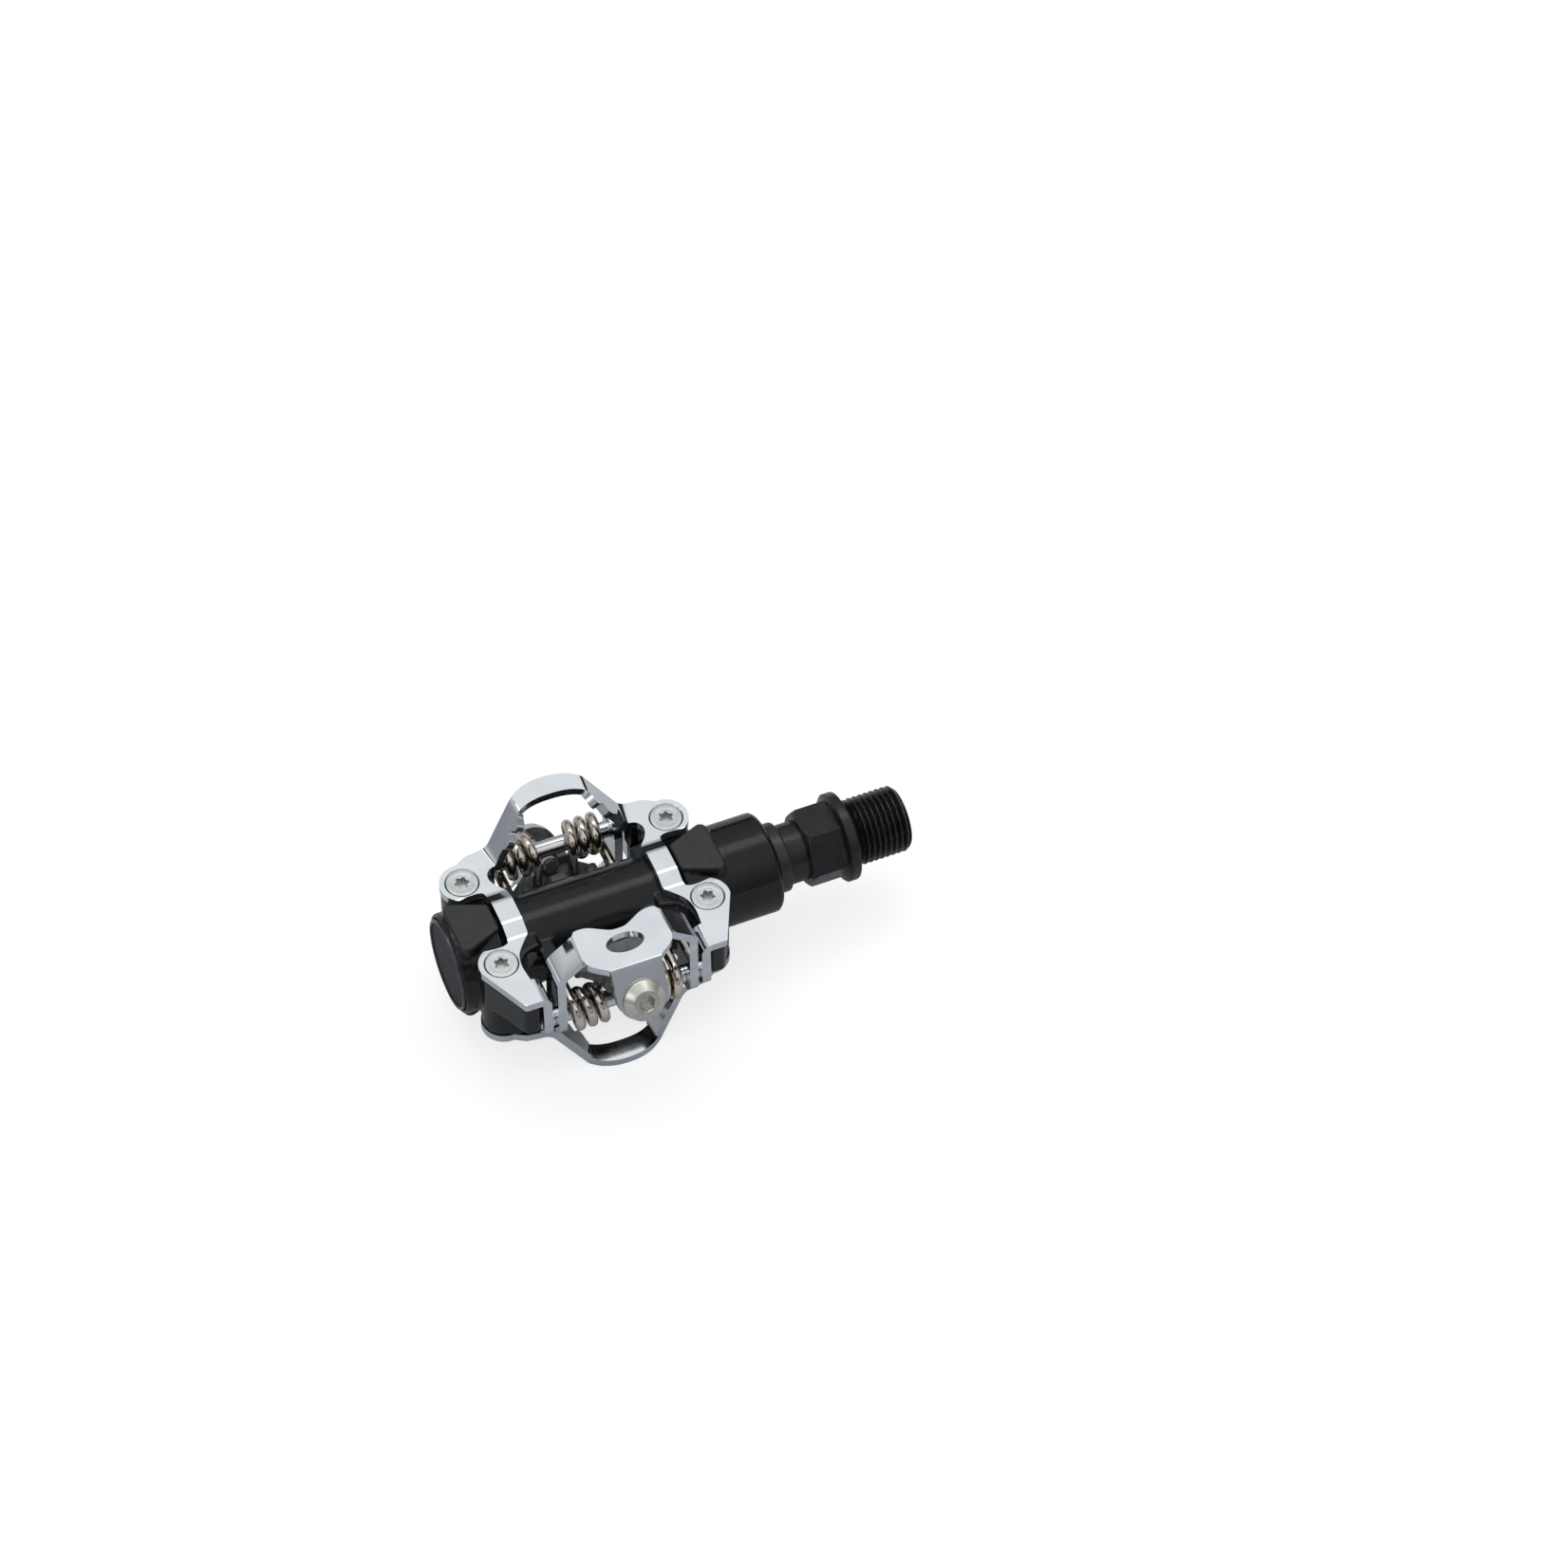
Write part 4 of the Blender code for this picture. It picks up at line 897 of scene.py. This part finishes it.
def lip():
    """The tension plate's lip: a middle hump, a dip for each spring leg, and a prong on each side."""
    top = BRIDGE_TOP - 0.3
    corners = [(1.9, LIP_LOW_Z, 1.2), (3.3, LIP_DIP_Z, 0.8), (5.6, LIP_DIP_Z, 0.8), (6.3, LIP_LOW_Z, 0.9)]
    corners += [(8.5, LIP_LOW_Z, 0.9), (BRIDGE_HALF - 0.4, BRIDGE_UNDER + 0.5, 0), (8.0, top, 0)]
    half = rounded([(0, LIP_LOW_Z, 0)] + corners + [(0, top, 0)])[1:-1]
    return prism("lip", both_halves(half), LIP_BACK_Y, LIP_FRONT_Y + 0.1, across_lip)


def soft_cast(item, voxel, passes):
    """Blends the object's inner and outer corners, as casting does."""
    remesh = item.modifiers.new("remesh", "REMESH")
    remesh.mode = "VOXEL"
    remesh.voxel_size = voxel * MM
    soften = item.modifiers.new("soften", "SMOOTH")
    soften.factor = 0.5
    soften.iterations = passes
    settle(item)
    item.data.shade_smooth()
    return item


def make_tension_plates(made):
    """Two cast plates, each of a block on the screw, a bridge and a lip."""
    plate = bridge()
    combine(plate, [nut_block(), lip()], "UNION")
    bore = ADJUSTER_R + 0.1
    hole = turned("hole", [(-NUT_FAR - 3, bore), (-NUT_NEAR + 1, bore)], 48, by_screw)
    combine(plate, [hole], "DIFFERENCE")
    soft_cast(plate, PLATE_VOXEL, 4)
    give(plate, made["cast_steel"])
    place_both(plate, "tension_plate", "*_tension", "cast_steel")


def spring_path():
    """Centre line of a torsion spring: a leg under the body's lug, the coil, and a leg up behind the lip."""
    first = math.pi / 2
    last = first + 2 * math.pi * COIL_TURNS
    path = [Vector((COIL_OUT, LEG_BACK_Y + (PIVOT_Y - LEG_BACK_Y) * k / 12, COIL_R)) for k in range(12)]
    steps = int(40 * COIL_TURNS)
    for k in range(steps + 1):
        turn = first + (last - first) * k / steps
        x = COIL_OUT + (COIL_IN - COIL_OUT) * k / steps
        path.append(Vector((x, PIVOT_Y + COIL_R * math.cos(turn), COIL_R * math.sin(turn))))
    path += [Vector((COIL_IN, PIVOT_Y + COIL_R, LEG_UP * k / 10)) for k in range(1, 11)]
    return path


def wire(name, path, radius, sides=20):
    """Round wire along the path, narrower at its two ends."""
    points = []
    count = len(path)
    for k, spot in enumerate(path):
        ahead = (path[min(k + 1, count - 1)] - path[max(k - 1, 0)]).normalized()
        across = (Vector((1, 0, 0)) - ahead * ahead.x).normalized()
        other = ahead.cross(across)
        here = radius * (0.8 if k in (0, count - 1) else 1.0)
        for u, v in regular((0, 0), here, sides):
            points.append(spot + across * u + other * v)
    faces = [tuple(range(sides))]
    for k in range(count - 1):
        for j in range(sides):
            m = (j + 1) % sides
            faces.append((k * sides + j, k * sides + m, (k + 1) * sides + m, (k + 1) * sides + j))
    last = (count - 1) * sides
    faces.append(tuple(range(last, last + sides)))
    return mesh_object(name, [(PLATFORM_X + p.x, p.y, p.z) for p in points], faces)


def make_springs(made):
    """Four springs, each wound between the body at its outer end and the claw at its inner end."""
    path = spring_path()
    # a point close to each end keeps the wire's narrowing short
    path.insert(1, path[0].lerp(path[1], 0.12))
    path.insert(-1, path[-1].lerp(path[-2], 0.15))
    spring = wire("top_spring_crank_shown", path, WIRE_R)
    give(spring, made["nickel"])
    even_shading(spring, 60)
    other = mirrored(spring, "top_spring_cap_shown")
    pairs = [(spring, "top", 1), (other, "top", -1)]
    pairs.append((flipped(spring, "bottom_spring_crank_shown"), "bottom", 1))
    pairs.append((flipped(other, "bottom_spring_cap_shown"), "bottom", -1))
    for item, face, side in pairs:
        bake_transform(item)
        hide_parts(item.name.replace("_shown", ""))


# ---------------------------------------------------------------- body


def body_front():
    """The casting's arm beside the claw."""
    inner = EAR_BEND_X + 0.1
    return (
        [(13.0, -4.0), (13.0, -8.2), (16.6, -9.2), (18.3, -11.4), (inner, -14.5), (inner, -22.7)]
        + [(21.3, -22.7), (22.0, -22.0)]
        + arc((SCREW_X, -SCREW_Y), BULGE_R - 0.2, -22, 50, 12)
        + [(27.5, -6.6), (27.5, -4.0)]
    )


def body_back():
    """The casting's arm beside the hoop."""
    return (
        [(13.0, 4.0), (27.5, 4.0), (27.5, 6.6)]
        + arc((SCREW_X, SCREW_Y), BULGE_R - 0.2, -50, 62, 16)
        + [(20.8, 16.6), (15.3, 16.8), (15.3, 13.1), (16.9, 12.4), (17.6, 10.5), (16.6, 8.8), (13.0, 8.0)]
    )


def pad_outline(side, grow=0.0):
    """Outline of a pad, wider at its outer end."""
    near = PAD_IN - grow
    far = PAD_OUT + grow
    corners = [(near, -PAD_IN_HALF - grow, 1.0), (far, -PAD_OUT_HALF - grow, 1.5)]
    corners += [(far, PAD_OUT_HALF + grow, 1.5), (near, PAD_IN_HALF + grow, 1.0)]
    return [(PLATFORM_X + side * x, y) for x, y in rounded(corners)]


def make_pads(made):
    """The four matte blocks beside the straps."""
    for side, end in ((-1, "cap"), (1, "crank")):
        pad = prism(f"top_pad_{end}", pad_outline(side), PAD_FOOT, PAD_TOP)
        round_edges(pad, PAD_EDGE, 4, 60)
        give(pad, made["pad_black"])
        even_shading(pad)
        place_piece(flipped(pad, f"bottom_pad_{end}"), "pedal_body", "black_casting", "body_casting")
        place_piece(pad, "pedal_body", "black_casting", "body_casting")


def barrel():
    """The casting's round barrel, with a shoulder at each end."""
    middle = PLATFORM_X
    profile = [(RIM_X, 0.01), (RIM_X, SHOULDER_R - 0.5), (RIM_X + 0.5, SHOULDER_R)]
    profile += [(middle - 20.4, SHOULDER_R), (middle - 19.4, BARREL_R)]
    profile += [(middle + 19.4, BARREL_R), (middle + 20.4, SHOULDER_R)]
    profile += [(BODY_INBOARD - 0.8, SHOULDER_R), (BODY_INBOARD, SHOULDER_R - 0.8), (BODY_INBOARD, 0.01)]
    return turned("body_shown", profile, 128)


def body_parts():
    """The casting's arms, pad feet and spring lugs, each a solid to join to the barrel."""
    parts = []
    for side in (-1, 1):
        for outline in (body_front(), body_back()):
            upper = [(PLATFORM_X + side * x, y) for x, y in outline]
            parts.append(prism("arm", upper, -0.05, BODY_TOP))
            parts.append(prism("arm", [(x, -y) for x, y in upper], -BODY_TOP, 0.05))
        parts.append(prism("foot", pad_outline(side), -PAD_TOP + FOOT_DROP, PAD_TOP - FOOT_DROP))
        ends = [PLATFORM_X + side * LUG_IN_X, PLATFORM_X + side * LUG_OUT_X]
        for way in (-1, 1):
            lug = [(x, way * LUG_ROOT_Y) for x in ends] + [(x, way * LUG_OUT_Y) for x in reversed(ends)]
            parts.append(prism("lug", lug, *sorted((-way * LUG_UNDER, -way * LUG_TOP))))
    return parts


def make_body(made):
    """The black casting, joined from its parts, bored, and softened at every corner."""
    body = barrel()
    combine(body, body_parts(), "UNION")
    bore = [(RIM_X - 1, CAP_BORE_R), (CAP_BORE_X, CAP_BORE_R)]
    bore += [(CAP_BORE_X, BODY_BORE_R), (BODY_INBOARD + 1, BODY_BORE_R)]
    holes = [turned("bore", bore, 128)]
    for x in (-SCREW_X, SCREW_X):
        for y in (-SCREW_Y, SCREW_Y):
            round_hole = on_platform(regular((x, y), SCREW_BORE_R, 32))
            holes.append(prism("hole", round_hole, -PLATE_TOP, PLATE_TOP))
    combine(body, holes, "DIFFERENCE")
    soft_cast(body, BODY_VOXEL, 3)
    give(body, made["gloss_black"])
    place_piece(body, "pedal_body", "black_casting", "body_casting")


def make_end_cap(made):
    """The grey disc at the outboard end and the rim round it, coloured lighter than the black it stands for
    as a painted highlight for its thin light line; its ridge also catches real reflections.
    """
    face = -HALF_LENGTH
    disc = [(CAP_BACK_X, 0.5), (CAP_BACK_X, CAP_R), (face + 0.45, CAP_R), (face + 0.35, CAP_R - 0.25)]
    disc.append((face + 0.32, 0.5))
    cap = turned("end_cap_shown", disc, 96)
    give(cap, made["grey_cap"])
    even_shading(cap)
    place_piece(cap, "pedal_body", "grey_cap", "end_cap")
    back = CAP_BACK_X - 0.2
    ring = [(back, CAP_RIM_IN_R), (back, CAP_RIM_OUT_R), (face + 0.2, CAP_RIM_OUT_R)]
    ring += [(face + 0.05, 9.6), (face, 9.4), (face + 0.05, 9.2), (face + 0.2, CAP_RIM_IN_R)]
    # the rim's lighter colour is a painted highlight
    rim = lathe("end_cap_rim", ring)
    give(rim, made["rim_painted_highlight"])
    even_shading(rim)
    place_piece(rim, "pedal_body", "grey_cap", "end_cap")


# ---------------------------------------------------------------- spindle


def thread_radius(x, radius, turn):
    """A left-hand helix cut into the radius given, between the two ends of the thread."""
    phase = (x / THREAD_PITCH + turn / (2 * math.pi)) % 1.0
    flank = min(1.0, max(0.0, abs(phase - 0.5) * 2.6 - 0.25))
    return min(radius, THREAD_R - THREAD_DEPTH * flank)


def make_thread():
    """The crank thread, lower at both of its ends."""
    steps = int((HALF_LENGTH - THREAD_START) / THREAD_PITCH * 14)
    profile = []
    for k in range(steps + 1):
        x = THREAD_START + (HALF_LENGTH - THREAD_START) * k / steps
        lead = min(x - THREAD_START, HALF_LENGTH - x)
        profile.append((x, min(THREAD_R, RELIEF_R + 0.1 + lead * 0.95)))
    profile = [(THREAD_START - 1, RELIEF_R - 0.02)] + profile
    return turned("thread", profile, 120, along_x, thread_radius)


def make_spindle(made):
    """The spindle: shaft, neck, wrench hexagon and flange in one piece, and the thread in another."""
    corner = HEX_ACROSS / math.sqrt(3)
    core = HEX_ACROSS / 2 - 0.3
    shaft = [(SHAFT_X, SHAFT_R), (NECK_X - 0.5, SHAFT_R), (NECK_X, NECK_R), (HEX_X, NECK_R)]
    shaft.append((HEX_X + 0.5, core))
    flare = [(k / 8, 1 - math.sqrt(1 - (k / 8) ** 2)) for k in range(9)]
    shaft += [(FLANGE_X - 2.6 + 2.6 * t, core + (FLANGE_R - 0.3 - core) * rise) for t, rise in flare]
    shaft += [(FLANGE_X + 0.3, FLANGE_R), (FLANGE_END - 0.4, FLANGE_R), (FLANGE_END - 0.1, FLANGE_R - 0.12)]
    shaft += [(FLANGE_END, FLANGE_R - 0.4), (FLANGE_END, RELIEF_R), (THREAD_START + 0.5, RELIEF_R)]
    spindle = turned("spindle_shown", shaft, 120)
    hexagon = prism("hex", regular((0, 0), corner, 6, HEX_TURN), HEX_X, FLANGE_X + 0.2, along_x)
    envelope = [(HEX_X - 0.1, corner - 1.15), (HEX_X + 1.1, corner + 0.1), (FLANGE_X - 0.5, corner + 0.1)]
    envelope += [(FLANGE_X + 0.3, corner - 0.5)]
    combine(hexagon, [turned("envelope", envelope, 116)], "INTERSECT")
    combine(spindle, [hexagon], "UNION")
    round_edges(spindle, 0.16, 2, 30)
    thread = make_thread()
    key = regular((0, 0), SOCKET_ACROSS / math.sqrt(3), 6)
    mouth = [(HALF_LENGTH - 0.6, 4.2), (HALF_LENGTH + 0.5, 5.3)]
    socket = prism("socket", key, HALF_LENGTH - SOCKET_DEPTH, HALF_LENGTH + 1, along_x)
    combine(thread, [turned("mouth", mouth, 64), socket], "DIFFERENCE")
    for item in (spindle, thread):
        give(item, made["black_oxide"])
        even_shading(item, 45)
    thread.name = "spindle_thread"
    place_piece(spindle, "spindle", "black_oxide_steel", "spindle")
    place_piece(thread, "spindle", "black_oxide_steel", "spindle")


def make_sleeve(made):
    """The lock sleeve at the body's mouth, with its stepped lip."""
    ring = [(SLEEVE_X, SLEEVE_IN_R), (23.2, SLEEVE_IN_R), (23.4, 6.95), (23.4, 7.2), (23.2, 7.42)]
    ring += [(22.9, SLEEVE_LIP_R), (20.9, SLEEVE_LIP_R), (20.7, SLEEVE_OUT_R), (SLEEVE_X, SLEEVE_OUT_R)]
    sleeve = lathe("lock_sleeve_shown", ring)
    give(sleeve, made["polymer"])
    even_shading(sleeve)
    place_piece(sleeve, "pedal_body", "black_polymer", "lock_sleeve")


# ---------------------------------------------------------------- hidden pieces, light and camera


def finish_cad_nodes(made):
    """Detailed materials for the CAD nodes that are shown as they are."""
    shown = {
        "bearing_inner_race": "ground_steel",
        "bearing_outer_race": "ground_steel",
        "bearing_balls": "ground_steel",
        "lock_washer": "ground_steel",
        "spindle_locknut": "ground_steel",
        "inboard_bush": "bronze",
        "inboard_seal": "rubber",
    }
    for node, name in shown.items():
        give(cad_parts[node], made[name])


def area_light(name, place, size, brightness):
    """A soft panel that faces the pedal; its brightness is 1 where it looks as white as paper."""
    light = bpy.data.lights.new(name, "AREA")
    light.shape = "RECTANGLE"
    light.size, light.size_y = (side * MM for side in size)
    light.energy = brightness * math.pi * light.size * light.size_y
    item = bpy.data.objects.new(name, light)
    item.location = place * MM
    item.rotation_euler = place.to_track_quat("Z", "Y").to_euler()
    bpy.context.scene.collection.objects.link(item)


def paper(name, low, high):
    """A matte material between two greys, and its shader."""
    made, tree, shader = new_material(name)
    shader.inputs["Roughness"].default_value = 0.9
    colour_between(tree, shader, noise(tree, 0.02, 2.0), low, high)
    return made, shader


def make_studio():
    """A pale floor, a soft pale surround, large lights, and cards that only polished metal sees."""
    floor = prism("floor", regular((0, 0), FLOOR_R, 64), FLOOR_Z - 10, FLOOR_Z)
    white, shader = paper("floor_paper", (0.40, 0.40, 0.40), (0.43, 0.43, 0.43))
    shader.inputs["Emission Color"].default_value = (1, 1, 1, 1)
    shader.inputs["Emission Strength"].default_value = 0.7
    give(floor, white)
    table = prism("table", regular((0, 0), TABLE_R, 64), FLOOR_Z + 0.1, FLOOR_Z + 0.2)
    grey, _ = paper("table_grey", (0.58, 0.59, 0.61), (0.62, 0.63, 0.65))
    give(table, grey)
    only_reflected(table)
    make_sky()
    black, _ = paper("dark_card", (0.010, 0.010, 0.012), (0.014, 0.014, 0.016))
    for name, turn, rise, distance, size in DARK_CARDS:
        give(dark_card(name, toward(turn, rise), distance, size), black)
    for name, turn, rise, distance, size, brightness in PANELS:
        area_light(name, toward(turn, rise) * distance, size, brightness)
    bpy.context.scene.view_settings.view_transform = "Standard"


def make_sky():
    """A soft white dome that darkens towards the horizon."""
    world = bpy.data.worlds.new("studio")
    world.use_nodes = True
    tree = world.node_tree
    place = tree.nodes.new("ShaderNodeTexCoord")
    split = tree.nodes.new("ShaderNodeSeparateXYZ")
    ramp = tree.nodes.new("ShaderNodeValToRGB")
    tree.links.new(place.outputs["Generated"], split.inputs[0])
    tree.links.new(split.outputs["Z"], ramp.inputs[0])
    steps = ramp.color_ramp.elements
    for step, (height, colour) in zip(steps, SKY):
        step.position = height
        step.color = (*colour, 1)
    for height, colour in SKY[2:]:
        steps.new(height).color = (*colour, 1)
    tree.links.new(ramp.outputs[0], tree.nodes["Background"].inputs["Color"])
    tree.nodes["Background"].inputs["Strength"].default_value = SKY_STRENGTH
    bpy.context.scene.world = world


def toward(turn, rise):
    """The direction at an azimuth from +X and an elevation, in degrees."""
    turn = math.radians(turn)
    rise = math.radians(rise)
    return Vector((math.cos(turn) * math.cos(rise), math.sin(turn) * math.cos(rise), math.sin(rise)))


def dark_card(name, direction, distance, size):
    """A black card that faces the pedal, out of the camera's sight, for polished metal to reflect."""
    width, height = size
    corners = ((-1, -1), (1, -1), (1, 1), (-1, 1))
    outline = [(x * width / 2, y * height / 2) for x, y in corners]
    item = prism(name, outline, 0, 4)
    item.location = direction * distance * MM
    item.rotation_euler = direction.to_track_quat("Z", "Y").to_euler()
    only_reflected(item)
    return item


def only_reflected(item):
    """The object is seen in polished surfaces, and casts no shadow."""
    item.visible_camera = False
    item.visible_diffuse = False
    item.visible_shadow = False


def make_camera():
    """The camera looks past the pedal, so that it stands left of and below the middle of the frame."""
    level = math.cos(VIEW_RISE)
    back = Vector((math.sin(VIEW_TURN) * level, -math.cos(VIEW_TURN) * level, math.sin(VIEW_RISE)))
    right = Vector((math.cos(VIEW_TURN), math.sin(VIEW_TURN), 0))
    up = back.cross(right)
    aim = right * AIM_RIGHT + up * AIM_UP
    place = back * VIEW_DISTANCE
    away = (place - aim).normalized()
    side = up.cross(away).normalized()
    frame_of_view = Matrix((side, away.cross(side), away)).transposed()
    turned_view = frame_of_view @ Matrix.Rotation(-VIEW_ROLL, 3, "Z")
    data = bpy.data.cameras.new("camera")
    data.lens = LENS
    data.clip_start = 0.05
    data.clip_end = 20
    item = bpy.data.objects.new("camera", data)
    item.matrix_world = Matrix.Translation(place * MM) @ turned_view.to_4x4()
    bpy.context.scene.collection.objects.link(item)
    bpy.context.scene.camera = item


def main():
    made = make_materials()
    make_plates(made)
    make_plate_screws(made)
    make_pins(made)
    make_claws(made)
    make_adjusters(made)
    make_tension_plates(made)
    make_springs(made)
    make_body(made)
    make_pads(made)
    make_end_cap(made)
    make_spindle(made)
    make_sleeve(made)
    finish_cad_nodes(made)
    make_studio()
    make_camera()


main()
